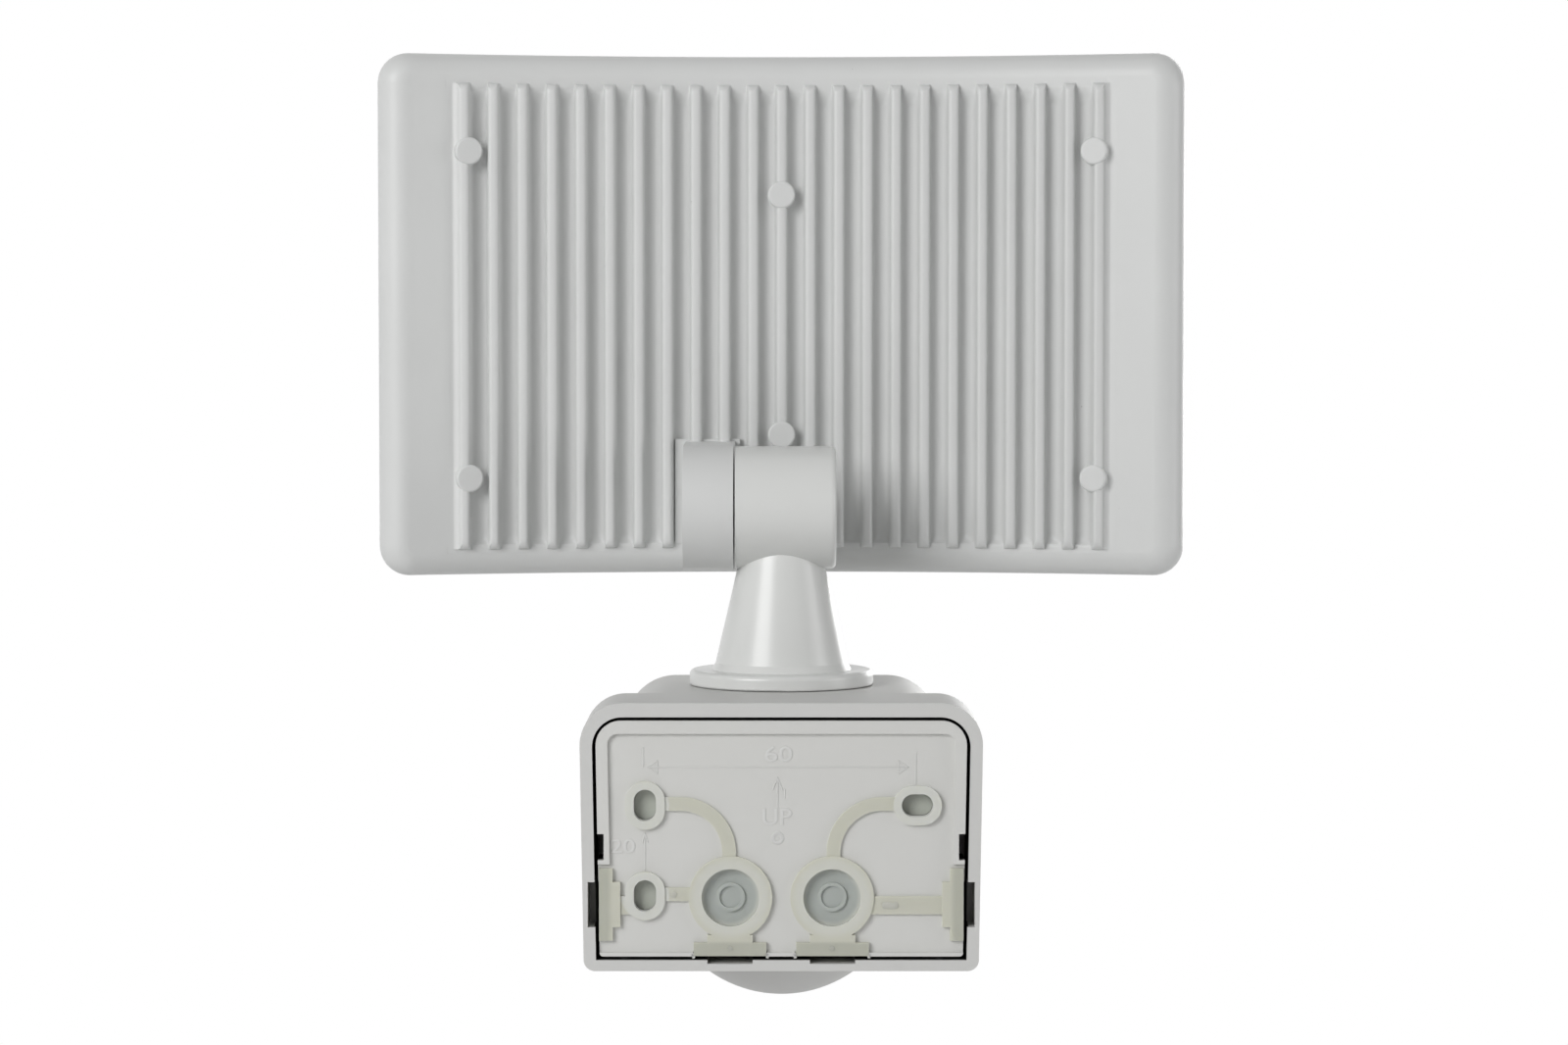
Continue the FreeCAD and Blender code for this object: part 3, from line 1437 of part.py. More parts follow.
def make_led_connector():
    body = head_body("led_connector")
    outline = bent_sketch(body, HEAD_MIDDLE - S.plug_drop)
    block(outline, -S.plug_width / 2, S.plug_width / 2, -LED_FACE_RADIUS - S.plug_thick, -LED_FACE_RADIUS)
    pad(body, outline, S.plug_tall)
    return body


def make_diffuser():
    body = head_body("diffuser")
    inset = REBATE_IN + S.diffuser_clear
    sheet_sketch = bent_sketch(body, inset - S.head_foot)
    curved(sheet_sketch, DIFFUSER_RADIUS, DIFFUSER_RADIUS + S.diffuser_thick, S.head_half - inset)
    pad(body, sheet_sketch, S.head_height - 2 * inset)
    soften(body, S.head_corner - inset, lambda edge: is_corner(edge, inset))
    soften(body, S.diffuser_round, lambda edge: on_curve(edge, DIFFUSER_RADIUS + S.diffuser_thick))
    return body


def make_diffuser_seal():
    """A frame with round corners, cut to the head's curve on both faces."""
    body = head_body("diffuser_seal")
    outer = REBATE_IN + S.seal_inset
    back = leg(LEDGE_RADIUS, S.head_half) - CURVE_CENTRE
    frame = new_sketch(body, "XZ_Plane", lift=back)
    round_frame(frame, outer)
    round_frame(frame, outer + S.seal_width)
    pad(body, frame, EDGE_RADIUS - CURVE_CENTRE - back)
    behind = bent_sketch(body, -S.head_foot)
    ring(behind, 0, 0, LEDGE_RADIUS)
    cut_on(body, behind, S.head_height)
    before = bent_sketch(body, -S.head_foot)
    ring(before, 0, 0, EDGE_RADIUS + S.head_half, DIFFUSER_RADIUS)
    cut_on(body, before, S.head_height)
    return body


def round_frame(sketch, sink):
    """The head's outline from the front, a wall further in."""
    half = S.head_half - sink
    foot = sink - S.head_foot
    top = HEAD_TOP - sink
    radius = S.head_corner - sink
    trace(
        sketch,
        (-half + radius, foot),
        (half - radius, foot, Bend(radius)),
        (half, foot + radius),
        (half, top - radius, Bend(radius)),
        (half - radius, top),
        (-half + radius, top, Bend(radius)),
        (-half, top - radius),
        (-half, foot + radius, Bend(radius)),
    )


def make_hinge_fittings():
    """The tilt bolt from the knuckle's side, and its washer and nut inside the barrel."""
    bolt = head_body("tilt_bolt")
    seat = S.knuckle_far - S.bolt_sink
    shank = new_sketch(bolt, "YZ_Plane", lift=S.bolt_tail)
    ring(shank, 0, 0, S.bolt_radius)
    pad(bolt, shank, seat - S.bolt_tail)
    head = new_sketch(bolt, "YZ_Plane", lift=seat)
    ring(head, 0, 0, S.bolt_head)
    pad(bolt, head, S.bolt_head_thick)
    socket = new_sketch(bolt, "YZ_Plane", lift=seat + S.bolt_head_thick)
    hexagon(socket, S.bolt_socket)
    cut_back(bolt, socket, S.bolt_socket_deep)
    inside = BARREL_NEAR - S.hinge_wall
    bore = S.bolt_radius + S.nut_clear
    washer = head_body("tilt_washer")
    washer_sketch = new_sketch(washer, "YZ_Plane", lift=inside - S.washer_gap - S.washer_thick)
    ring(washer_sketch, 0, 0, S.tilt_washer_radius, bore)
    pad(washer, washer_sketch, S.washer_thick)
    nut = head_body("tilt_nut")
    nut_face = inside - S.washer_gap - S.washer_thick
    nut_sketch = new_sketch(nut, "YZ_Plane", lift=nut_face - S.bolt_nut_thick)
    hexagon(nut_sketch, S.bolt_nut_radius)
    ring(nut_sketch, 0, 0, bore)
    pad(nut, nut_sketch, S.bolt_nut_thick)
    return [bolt, washer, nut]


def is_corner(edge, sink):
    """Whether an edge is one of the four corners that run to the front, a wall in from the outside."""
    if not runs_along(edge, "y"):
        return False
    point = edge.valueAt(edge.FirstParameter)
    beside = abs(abs(point.x) - (S.head_half - sink).value) < NEAR
    above = abs(point.z - (HEAD_TOP - sink).value) < NEAR
    below = abs(point.z + (S.head_foot - sink).value) < NEAR
    return beside and (above or below)


def on_curve(edge, radius):
    """Whether an edge's middle lies on the head's upright cylinder of that radius."""
    return all(
        abs(math.hypot(point.x, point.y - CURVE_CENTRE.value) - value_of(radius)) < NEAR
        for point in points_of(edge)
    )


nodes = [make_sensor_housing(), make_wall_plate(), make_plate_seal("right_plate_seal", 1),
         make_plate_seal("left_plate_seal", -1), make_sensor_lens(), make_sensor_holder()]
nodes += make_electronics()
nodes += make_terminals()
nodes += [make_housing_screws(), make_dial("time_dial", -1), make_dial("dusk_dial", 1), make_neck()]
nodes += make_neck_fittings()
nodes += [make_head_housing(), make_led_board(), make_led_screws(), make_led_chips()]
nodes += [make_led_connector(), make_diffuser(), make_diffuser_seal()]
nodes += make_hinge_fittings()

doc.recompute()
for item in doc.Objects:
    if "Invalid" in item.State or "Error" in item.State:
        raise RuntimeError(f"{item.Name} failed: {item.State}")

os.makedirs("parts", exist_ok=True)
for node in nodes:
    shape = node.Shape
    if shape.isNull() or not shape.isValid():
        raise RuntimeError(f"{node.Label} has no valid shape")
    shape.exportStep(f"parts/{node.Label}.step")
    bounds = shape.BoundBox
    print(f"{node.Label}: {len(shape.Solids)} solids, {shape.Volume:.1f} mm3, "
          f"x {bounds.XMin:.1f}..{bounds.XMax:.1f} y {bounds.YMin:.1f}..{bounds.YMax:.1f} "
          f"z {bounds.ZMin:.1f}..{bounds.ZMax:.1f}")
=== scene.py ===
"""Looks of a wall floodlight with a motion sensor: finishes, fine moulded marks, studio and camera."""

import json
import logging
import math
from collections.abc import Callable, Iterable
from dataclasses import dataclass
from enum import Enum

import bmesh
import bpy
from mathutils import Matrix, Vector


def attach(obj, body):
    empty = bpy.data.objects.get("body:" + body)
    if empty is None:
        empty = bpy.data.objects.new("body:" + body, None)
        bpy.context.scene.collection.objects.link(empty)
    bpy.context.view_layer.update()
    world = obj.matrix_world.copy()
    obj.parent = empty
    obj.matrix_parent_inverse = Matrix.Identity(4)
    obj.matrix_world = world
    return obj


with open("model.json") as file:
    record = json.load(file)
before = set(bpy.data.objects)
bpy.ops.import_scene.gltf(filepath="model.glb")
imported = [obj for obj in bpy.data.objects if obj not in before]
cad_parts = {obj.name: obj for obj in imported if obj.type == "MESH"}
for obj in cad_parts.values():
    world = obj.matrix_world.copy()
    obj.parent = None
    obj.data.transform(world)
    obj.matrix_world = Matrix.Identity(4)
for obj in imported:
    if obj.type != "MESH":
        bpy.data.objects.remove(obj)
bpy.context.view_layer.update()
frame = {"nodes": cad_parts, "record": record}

Pair = tuple[float, float]
Triple = tuple[float, float, float]
Colour = tuple[float, float, float, float]
# A line's first x and height and its last ones, and what builds a shape in an empty bmesh
Ends = tuple[float, float, float, float]
Shape = Callable[[bmesh.types.BMesh], None]

MM = 0.001
DEGREES = math.degrees(1)
WHITE: Colour = (1.0, 1.0, 1.0, 1.0)
# Vertices closer than this, in millimetres, become one, and edges that turn more than this stay sharp
WELD_REACH = 0.002
SHARP_TURN = math.radians(32)
# The bevel of a bar's upper edges, as a share of its height
BAR_ROUND = 0.4
# A letter's thickness and bevel, in the font's own units, and the steps of its curves
LETTER_EXTRUDE = 0.05
LETTER_BEVEL = 0.012
LETTER_STEPS = 6
# A disc's corners, and how far from its middle line, in metres, a corner still counts as on it
DISC_SIDES = 40
ON_AXIS = 1e-7
# A Mix node's sockets for colours, by number, because its sockets share their names
MIX_START, MIX_END, MIX_RESULT = 6, 7, 2
# A flat mark turned to face the wall: its own x to Blender's -x, its y to z and its z to y
FROM_WALL = Matrix(((-1, 0, 0, 0), (0, 0, 1, 0), (0, 1, 0, 0), (0, 0, 0, 1)))

log = logging.getLogger("floodlight")


def tone(red: int, green: int, blue: int) -> Colour:
    """Turn a screen colour into the linear one that a shader takes, by the sRGB curve.

    Args:
        red: Red from 0 to 255.
        green: Green from 0 to 255.
        blue: Blue from 0 to 255.

    Returns:
        The linear colour, with an alpha of 1.
    """
    shares = [part / 255 for part in (red, green, blue)]
    linear = [share / 12.92 if share <= 0.04045 else ((share + 0.055) / 1.055) ** 2.4 for share in shares]
    return (*linear, 1.0)


def shaded(colour: Colour, share: float) -> Colour:
    """A colour made lighter or darker by a share of itself."""
    return (*(part * share for part in colour[:3]), 1.0)


class Link:
    """A node's output, on which shader maths is written as Python expressions."""

    def __init__(self, graph: "Graph", socket: bpy.types.NodeSocket | None) -> None:
        """Keep the graph and the socket that later nodes read."""
        self.graph = graph
        self.socket = socket

    def _maths(self, operation: str, *values: "Link | float") -> "Link":
        """Add one Math node on the values, in their order."""
        return self.graph.node("ShaderNodeMath", {"operation": operation}, dict(enumerate(values)))

    def __add__(self, other: "Link | float") -> "Link":
        """Self + other."""
        return self._maths("ADD", self, other)

    __radd__ = __add__

    def __sub__(self, other: "Link | float") -> "Link":
        """Self - other."""
        return self._maths("SUBTRACT", self, other)

    def __rsub__(self, other: float) -> "Link":
        """Other - self."""
        return self._maths("SUBTRACT", other, self)

    def __mul__(self, other: "Link | float") -> "Link":
        """Self * other."""
        return self._maths("MULTIPLY", self, other)

    def __pow__(self, other: float) -> "Link":
        """Self to the power of other."""
        return self._maths("POWER", self, other)

    def __abs__(self) -> "Link":
        """The size of self without its sign."""
        return self._maths("ABSOLUTE", self)

    def most(self, other: "Link | float") -> "Link":
        """The larger of two values."""
        return self._maths("MAXIMUM", self, other)

    def least(self, other: "Link | float") -> "Link":
        """The smaller of two values."""
        return self._maths("MINIMUM", self, other)

    def hypot(self, other: "Link") -> "Link":
        """The length whose parts, square to each other, are self and other."""
        return (self**2 + other**2) ** 0.5

    def angle_to(self, other: "Link") -> "Link":
        """The angle in degrees whose tangent is self over other."""
        return self._maths("ARCTAN2", self, other) * DEGREES

    def wave(self, pitch: float) -> "Link":
        """A triangle wave: 0 on each multiple of the pitch and 1 half way between two."""
        return self._maths("PINGPONG", self, pitch / 2) * (2 / pitch)

    def rise(self, low: float, high: float) -> "Link":
        """A smooth step from 0 at low to 1 at high."""
        sockets = {"Value": self, "From Min": low, "From Max": high}
        return self.graph.node("ShaderNodeMapRange", {"interpolation_type": "SMOOTHSTEP"}, sockets)


class Graph:
    """The nodes of one material, or of the world."""

    def __init__(self, owner: bpy.types.Material | bpy.types.World) -> None:
        """Start with no nodes.

        Args:
            owner: The new material or world that the nodes belong to.
        """
        owner.use_nodes = True
        self.owner = owner
        self.tree = owner.node_tree
        self.tree.nodes.clear()

    def node(
        self,
        kind: str,
        settings: dict[str, str] | None = None,
        sockets: dict[int | str, object] | None = None,
        output: int | str = 0,
    ) -> Link:
        """Add a node.

        Args:
            kind: The node's type.
            settings: Its own properties, set before its inputs.
            sockets: A value or Link for each input, by name or number.
            output: The name or number of the output that is wanted.

        Returns:
            The wanted output. It holds no socket if the node has no outputs.
        """
        made = self.tree.nodes.new(kind)
        for key, value in (settings or {}).items():
            setattr(made, key, value)
        for key, value in (sockets or {}).items():
            if isinstance(value, Link):
                self.tree.links.new(value.socket, made.inputs[key])
            else:
                made.inputs[key].default_value = value
        return Link(self, made.outputs[output] if made.outputs else None)

    def place(self) -> Link:
        """The point's place on the object, in metres."""
        return self.node("ShaderNodeTexCoord", output="Object")

    def axes(self) -> tuple[Link, Link, Link]:
        """The point's x, y and z on the object, in millimetres."""
        parts = self.node("ShaderNodeSeparateXYZ", None, {0: self.place()}).socket.node
        return tuple(Link(self, socket) * (1 / MM) for socket in parts.outputs)

    def noise(self, grain: float, detail: float = 2.0, stretch: Triple = (1, 1, 1)) -> Link:
        """Smooth noise from 0 to 1.

        Args:
            grain: The size of its lumps in millimetres.
            detail: How many finer layers it has.
            stretch: How much denser it runs along x, y and z.

        Returns:
            The noise's value.
        """
        spot = self.node("ShaderNodeMapping", None, {"Vector": self.place(), "Scale": stretch})
        sockets = {"Vector": spot, "Scale": 1 / (grain * MM), "Detail": detail}
        return self.node("ShaderNodeTexNoise", None, sockets)

    def mix(self, share: Link, start: Link | Colour, end: Link | Colour) -> Link:
        """A colour between two others: the start where the share is 0 and the end where it is 1."""
        sockets = {0: share, MIX_START: start, MIX_END: end}
        return self.node("ShaderNodeMix", {"data_type": "RGBA"}, sockets, MIX_RESULT)

    def bump(self, height: Link, depth: float) -> Link:
        """A normal that follows a height from 0 to 1, whose whole range is a depth in millimetres."""
        return self.node("ShaderNodeBump", None, {"Height": height, "Distance": depth * MM})

    def finish(self, **sockets: Link | float | Colour | Triple) -> bpy.types.Material:
        """End the material in one shader.

        Args:
            **sockets: The shader's inputs, with underscores for spaces.

        Returns:
            The material.
        """
        inputs = {name.replace("_", " "): value for name, value in sockets.items()}
        shader = self.node("ShaderNodeBsdfPrincipled", None, inputs)
        self.node("ShaderNodeOutputMaterial", None, {"Surface": shader})
        return self.owner


@dataclass(frozen=True)
class Finish:
    """A plain moulded or coated finish, and the base of the others. Sizes are in millimetres."""

    colour: Colour
    roughness: float = 0.45
    roughness_range: float = 0.08
    mottle: float = 0.03
    mottle_size: float = 22.0
    drift_size: float = 0.25
    grain: float = 0.5
    grain_detail: float = 3.0
    grain_depth: float = 0.012
    stretch: Triple = (1, 1, 1)
    metallic: float = 0.0
    coat: float = 0.0
    coat_roughness: float = 0.1
    depth: float = 0.0
    depth_scale: float = 1.5
    depth_colour: Triple = (1.0, 1.0, 0.8)
    shine: float = 0.5

    def tint(self, graph: Graph) -> Link:
        """The colour over the surface, which drifts a little.

        Args:
            graph: The material's nodes.

        Returns:
            The base colour.
        """
        light = shaded(self.colour, 1 + self.mottle)
        dark = shaded(self.colour, 1 - self.mottle)
        return graph.mix(graph.noise(self.mottle_size), dark, light)

    def relief(self, graph: Graph) -> Link:
        """The height of the surface's grain, from 0 to 1."""
        return graph.noise(self.grain, self.grain_detail, self.stretch)

    def build(self, name: str) -> bpy.types.Material:
        """Make the material.

        Args:
            name: The material's name.

        Returns:
            The material.
        """
        graph = Graph(bpy.data.materials.new(name))
        drift = (graph.noise(self.mottle_size * self.drift_size) - 0.5) * self.roughness_range
        return graph.finish(
            Base_Color=self.tint(graph),
            Roughness=self.roughness + drift,
            Metallic=self.metallic,
            Specular_IOR_Level=self.shine,
            Coat_Weight=self.coat,
            Coat_Roughness=self.coat_roughness,
            Subsurface_Weight=self.depth,
            Subsurface_Scale=self.depth_scale * MM,
            Subsurface_Radius=self.depth_colour,
            Normal=graph.bump(self.relief(graph), self.grain_depth),
        )


@dataclass(frozen=True)
class PowderCoat(Finish):
    """Sprayed coat on a casting: orange peel over a fine grain, with a few settled specks."""

    grain_detail: float = 2.0
    peel: float = 1.9
    peel_detail: float = 1.0
    peel_share: float = 0.75
    speck: Colour = (0.25, 0.25, 0.24, 1.0)
    speck_size: float = 5.5
    speck_edge: Pair = (0.022, 0.034)
    speck_share: float = 0.55
    patch_ratio: float = 2.2
    patch_edge: Pair = (0.66, 0.70)

    def tint(self, graph: Graph) -> Link:
        """The coat's colour with rare, small dark specks.

        Args:
            graph: The material's nodes.

        Returns:
            The base colour.
        """
        sockets = {"Vector": graph.place(), "Scale": 1 / (self.speck_size * MM)}
        cells = graph.node("ShaderNodeTexVoronoi", None, sockets)
        patches = graph.noise(self.speck_size * self.patch_ratio, 0.0).rise(*self.patch_edge)
        dots = (1 - cells.rise(*self.speck_edge)) * patches
        return graph.mix(dots * self.speck_share, super().tint(graph), self.speck)

    def relief(self, graph: Graph) -> Link:
        """Orange peel with finer grain on it."""
        peel = graph.noise(self.peel, self.peel_detail)
        return peel * self.peel_share + super().relief(graph) * (1 - self.peel_share)


@dataclass(frozen=True)
class HousingPlastic(Finish):
    """Moulded plastic, with painted shade that makes it dark in the gap round the inset plate."""

    # Painted shade: a near black colour for the rim gap's walls, standing for the gap's shade, not the
    # plastic's own colour.
    gap_shade: Colour = (0.02, 0.02, 0.017, 1.0)
    lip: float = 0.4
    lip_fade: float = 1.2
    half_width: float = 41.6
    lean: float = 0.017
    top: float = 19.6
    foot: float = -34.3
    edge_fade: float = 0.25
    reach: float = 16.0
    reach_fade: float = 4.0
    bend_place: float = 34.8
    bend_height: float = 13.0
    bend_radius: float = 7.4

    def tint(self, graph: Graph) -> Link:
        """The plastic's colour, with painted shade inside the rim.

        Args:
            graph: The material's nodes.

        Returns:
            The base colour.
        """
        x, y, z = graph.axes()
        sides, depth = abs(x), 0 - y
        across, up = (sides - self.bend_place).most(0.0), (z - self.bend_height).most(0.0)
        bend = self.bend_radius - across.hypot(up)
        wall = self.half_width + z * self.lean - sides
        within = wall.least(self.top - z).least(z - self.foot).least(bend).rise(-self.edge_fade, 0.0)
        deep = depth.rise(self.lip, self.lip + self.lip_fade)
        beyond = depth.rise(self.reach, self.reach + self.reach_fade)
        # Painted shade: inside the rim's outline, from just past its lip to its far reach, the walls turn
        # near black.
        return graph.mix(within * (deep * (1 - beyond)), super().tint(graph), self.gap_shade)


@dataclass(frozen=True)
class PlateEdgePlastic(Finish):
    """Moulded plastic of the wall plate, with painted shade that makes its skirt dark inside the housing.
    """

    # Painted shade on the skirt where it goes into the housing's gap.
    gap_shade: Colour = (0.05, 0.05, 0.045, 1.0)
    start: float = 1.8
    end: float = 3.0

    def tint(self, graph: Graph) -> Link:
        """The plastic's colour, with painted shade on the outside of the skirt."""
        _, y, _ = graph.axes()
        return graph.mix((0 - y).rise(self.start, self.end), super().tint(graph), self.gap_shade)


@dataclass(frozen=True)
class SealRubber(Finish):
    """Soft translucent moulding: yellowish where thick, and with painted shade in grey where a thin skin
    covers a dark hollow.
    """

    # Painted shade: the grey of the thin skins stands for the dark hollow seen through them.
    skin: Colour = tone(173, 178, 174)
    skin_half: float = 6.8
    skin_edge: float = 1.6
    skin_depth: float = 1.0
    skin_fade: float = 0.5
    pale: Colour = tone(208, 209, 203)
    ring_half: float = 9.6
    ring_edge: float = 2.2
    ring_share: float = 0.7
    cable_place: float = 11.2
    cable_drop: float = 20.4
    slot_place: float = 30.0
    slot_drop: float = 20.0
    slot_half: float = 5.6
    slot_edge: float = 0.6
    # Painted shade: the greyer tone of the side and foot seals stands for the hollow seen through them.
    hollow_shade: Colour = tone(180, 181, 169)
    side_start: float = 37.0
    side_fade: float = 1.5
    foot_start: float = 29.8
    foot_fade: float = 1.0

    @staticmethod
    def near(across: Link, height: Link, radius: float, edge: float) -> Link:
        """1 within a radius of a centre, from the distances to it, falling to 0 over its edge."""
        return 1 - across.hypot(height).rise(radius - edge, radius)

    def tint(self, graph: Graph) -> Link:
        """Yellowish on the runners, near white round the slots, and painted shade in grey over the hollow
        parts behind.

        Args:
            graph: The material's nodes.

        Returns:
            The base colour.
        """
        x, y, z = graph.axes()
        sides, depth = abs(x), 0 - y
        upper = self.near(sides - self.slot_place, z, self.slot_half, self.slot_edge)
        lower = self.near(x - self.slot_place, z + self.slot_drop, self.slot_half, self.slot_edge)
        across, height = sides - self.cable_place, z + self.cable_drop
        rings = self.near(across, height, self.ring_half, self.ring_edge)
        thin = self.near(across, height, self.skin_half, self.skin_edge)
        thin = thin * depth.rise(self.skin_depth - self.skin_fade, self.skin_depth)
        hollow = sides.rise(self.side_start, self.side_start + self.side_fade)
        hollow = hollow.most((0 - z).rise(self.foot_start, self.foot_start + self.foot_fade))
        pale = upper.most(lower).most(rings * self.ring_share)
        light = graph.mix(pale, super().tint(graph), self.pale)
        # Painted shade: grey over the thin skins and over the side and foot seals, for the hollows behind
        # them.
        return graph.mix(thin, graph.mix(hollow, light, self.hollow_shade), self.skin)


@dataclass(frozen=True)
class FacetLens(Finish):
    """Milky lens dome with faint rows of facets moulded on its inside. Rows and columns are in degrees."""

    centre_y: float = -61.0
    centre_z: float = -21.7
    rows: float = 18.0
    columns: float = 20.0
    joint_edge: Pair = (0.04, 0.12)
    joint_share: float = 0.5
    joint_shade: float = 0.82

    def joints(self, graph: Graph) -> Link:
        """1 on the facets' joints and 0 inside them.

        Args:
            graph: The material's nodes.

        Returns:
            The share of joint.
        """
        x, y, z = graph.axes()
        ahead, height = y - self.centre_y, z - self.centre_z
        turn = x.angle_to(0 - ahead)
        climb = height.angle_to(x.hypot(ahead))
        return 1 - turn.wave(self.columns).least(climb.wave(self.rows)).rise(*self.joint_edge)

    def tint(self, graph: Graph) -> Link:
        """The milky colour, a little darker on the joints."""
        dark = shaded(self.colour, self.joint_shade)
        return graph.mix(self.joints(graph) * self.joint_share, super().tint(graph), dark)


@dataclass(frozen=True)
class Brushed(Finish):
    """Plated or drawn metal with fine scratches along one axis."""

    stretch: Triple = (1, 1, 14)


@dataclass(frozen=True)
class BoardCoat(Finish):
    """Solder mask with tracks under it."""

    track: Colour = (0.05, 0.3, 0.12, 1.0)
    pitch: float = 2.6
    track_edge: Pair = (0.55, 0.65)
    break_ratio: float = 5.0
    break_edge: Pair = (0.2, 0.3)
    bend_size: float = 14.0
    bend_reach: float = 16.0

    def tint(self, graph: Graph) -> Link:
        """The mask, lighter where a track runs under it.

        Args:
            graph: The material's nodes.

        Returns:
            The base colour.
        """
        x, _, z = graph.axes()
        bend = graph.noise(self.bend_size, 0.0) * self.bend_reach
        runs = (x + bend).wave(self.pitch).rise(*self.track_edge)
        whole = (z + bend).wave(self.pitch * self.break_ratio).rise(*self.break_edge)
        return graph.mix(runs * whole, super().tint(graph), self.track)


class Slot(Enum):
    """The record's material slots."""

    CASTING = "white_casting"
    PLASTIC = "white_plastic"
    GLOSS = "gloss_white_plastic"
    SEAL = "seal_rubber"
    LENS = "milky_lens"
    OPAL = "opal_diffuser"
    BLACK = "black_plastic"
    GREY = "grey_plastic"
    GASKET = "black_rubber"
    BOARD = "circuit_board"
    CAN = "capacitor_can"
    ALUMINIUM = "bare_aluminium"
    LED = "led_yellow"
    STEEL = "steel"


FINISHES: dict[Slot, Finish] = {
    Slot.CASTING: PowderCoat(tone(210, 211, 210), roughness=0.42, grain=0.45, grain_depth=0.02),
    Slot.PLASTIC: Finish(tone(206, 206, 204), roughness=0.34, grain=0.3, grain_depth=0.006, mottle=0.015),
    Slot.GLOSS: Finish(
        tone(215, 216, 214),
        roughness=0.3,
        grain=4.0,
        grain_depth=0.01,
        mottle=0.012,
        coat=0.12,
        coat_roughness=0.16,
    ),
    Slot.SEAL: SealRubber(tone(199, 199, 186), roughness=0.42, grain=0.6, grain_depth=0.01, depth=0.35),
    Slot.LENS: FacetLens(tone(220, 219, 217), roughness=0.3, grain=2.0, grain_depth=0.004, depth=0.5),
    Slot.OPAL: Finish(tone(232, 233, 231), roughness=0.28, mottle=0.008, grain=0.9, depth=0.4),
    Slot.BLACK: Finish(tone(38, 38, 38), roughness=0.5, grain=0.3, grain_depth=0.01),
    Slot.GREY: Finish(tone(120, 121, 122), roughness=0.45, grain=0.3, grain_depth=0.008),
    Slot.GASKET: Finish(tone(30, 30, 30), roughness=0.7, grain=0.25, grain_depth=0.015),
    Slot.BOARD: BoardCoat(tone(24, 92, 52), roughness=0.35, grain=0.4, grain_depth=0.004),
    Slot.CAN: Brushed(tone(30, 34, 60), roughness=0.3, metallic=0.2, grain=0.4, grain_depth=0.004),
    Slot.ALUMINIUM: Brushed(tone(222, 223, 222), roughness=0.4, metallic=0.1, grain=0.5, grain_depth=0.004),
    Slot.LED: Finish(tone(232, 200, 90), roughness=0.4, grain=0.2, grain_depth=0.006),
    Slot.STEEL: Brushed(tone(186, 188, 190), roughness=0.3, metallic=1.0, grain=0.3, grain_depth=0.003),
}
NODE_FINISHES: dict[str, Finish] = {
    "sensor_housing": HousingPlastic(
        tone(206, 206, 204),
        roughness=0.4,
        grain=0.3,
        grain_depth=0.005,
        mottle=0.015,
        shine=0.03,
    ),
    "wall_plate": PlateEdgePlastic(
        tone(208, 208, 205),
        roughness=0.42,
        grain=0.3,
        grain_depth=0.008,
        mottle=0.02,
    ),
}
PIECE_FINISHES: dict[str, Finish] = {
    # Painted highlight: the raised marks are the plate's own plastic, and their slightly lighter colour
    # stands for light on their edges.
    "raised_marks": Finish(tone(211, 211, 209), roughness=0.3, mottle=0.01),
    "flash": Finish(tone(214, 214, 211), mottle=0.01),
    "slot_skin": Finish(tone(186, 190, 180), depth=0.2),
}


class Dresser:
    """Makes each finish once and hands it to solids and new pieces."""

    def __init__(self) -> None:
        """Build the finishes of the slots, and those that single solids and new pieces have."""
        self.slots = {slot: finish.build(slot.value) for slot, finish in FINISHES.items()}
        self.own = {name: finish.build(name) for name, finish in (NODE_FINISHES | PIECE_FINISHES).items()}

    def dress_solids(self) -> None:
        """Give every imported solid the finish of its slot, or its own one."""
        for row in frame["record"]["subparts"]:
            name = row["node"]
            materials = frame["nodes"][name].data.materials
            materials.clear()
            materials.append(self.own.get(name) or self.slots[Slot(row["material_slot"])])
        log.info("%d solids dressed", len(frame["nodes"]))


def settled(name: str, mesh: bmesh.types.BMesh) -> bpy.types.Mesh:
    """Turn a bmesh, which is freed, into mesh data.

    Args:
        name: The data's name.
        mesh: The shape.

    Returns:
        The mesh data.
    """
    data = bpy.data.meshes.new(name)
    mesh.to_mesh(data)
    mesh.free()
    return data


def shown(name: str, data: bpy.types.ID) -> bpy.types.Object:
    """Add an object to the scene.

    Args:
        name: The object's name.
        data: The mesh, lamp or camera that it shows.

    Returns:
        The new object, at the origin.
    """
    made = bpy.data.objects.new(name, data)
    bpy.context.scene.collection.objects.link(made)
    return made


@dataclass
class SubAssembly:
    """A group of new pieces that ride on one body."""

    dresser: Dresser
    body: str

    def piece(self, name: str, mesh: bmesh.types.BMesh, slot: Slot, own: str | None = None) -> None:
        """Turn a finished bmesh into a piece on its body.

        Args:
            name: The piece's name.
            mesh: The shape, which is freed.
            slot: The record's slot that it belongs to.
            own: The name of its own finish, where the slot's isn't wanted.
        """
        bmesh.ops.remove_doubles(mesh, verts=mesh.verts, dist=WELD_REACH * MM)
        bmesh.ops.recalc_face_normals(mesh, faces=mesh.faces)
        for face in mesh.faces:
            face.smooth = True
        for edge in mesh.edges:
            edge.smooth = len(edge.link_faces) == 2 and edge.calc_face_angle(math.pi) < SHARP_TURN
        data = settled(name, mesh)
        data.materials.append(self.dresser.own[own] if own else self.dresser.slots[slot])
        made = shown(name, data)
        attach(made, self.body)
        log.info("%s: %d faces", name, len(data.polygons))


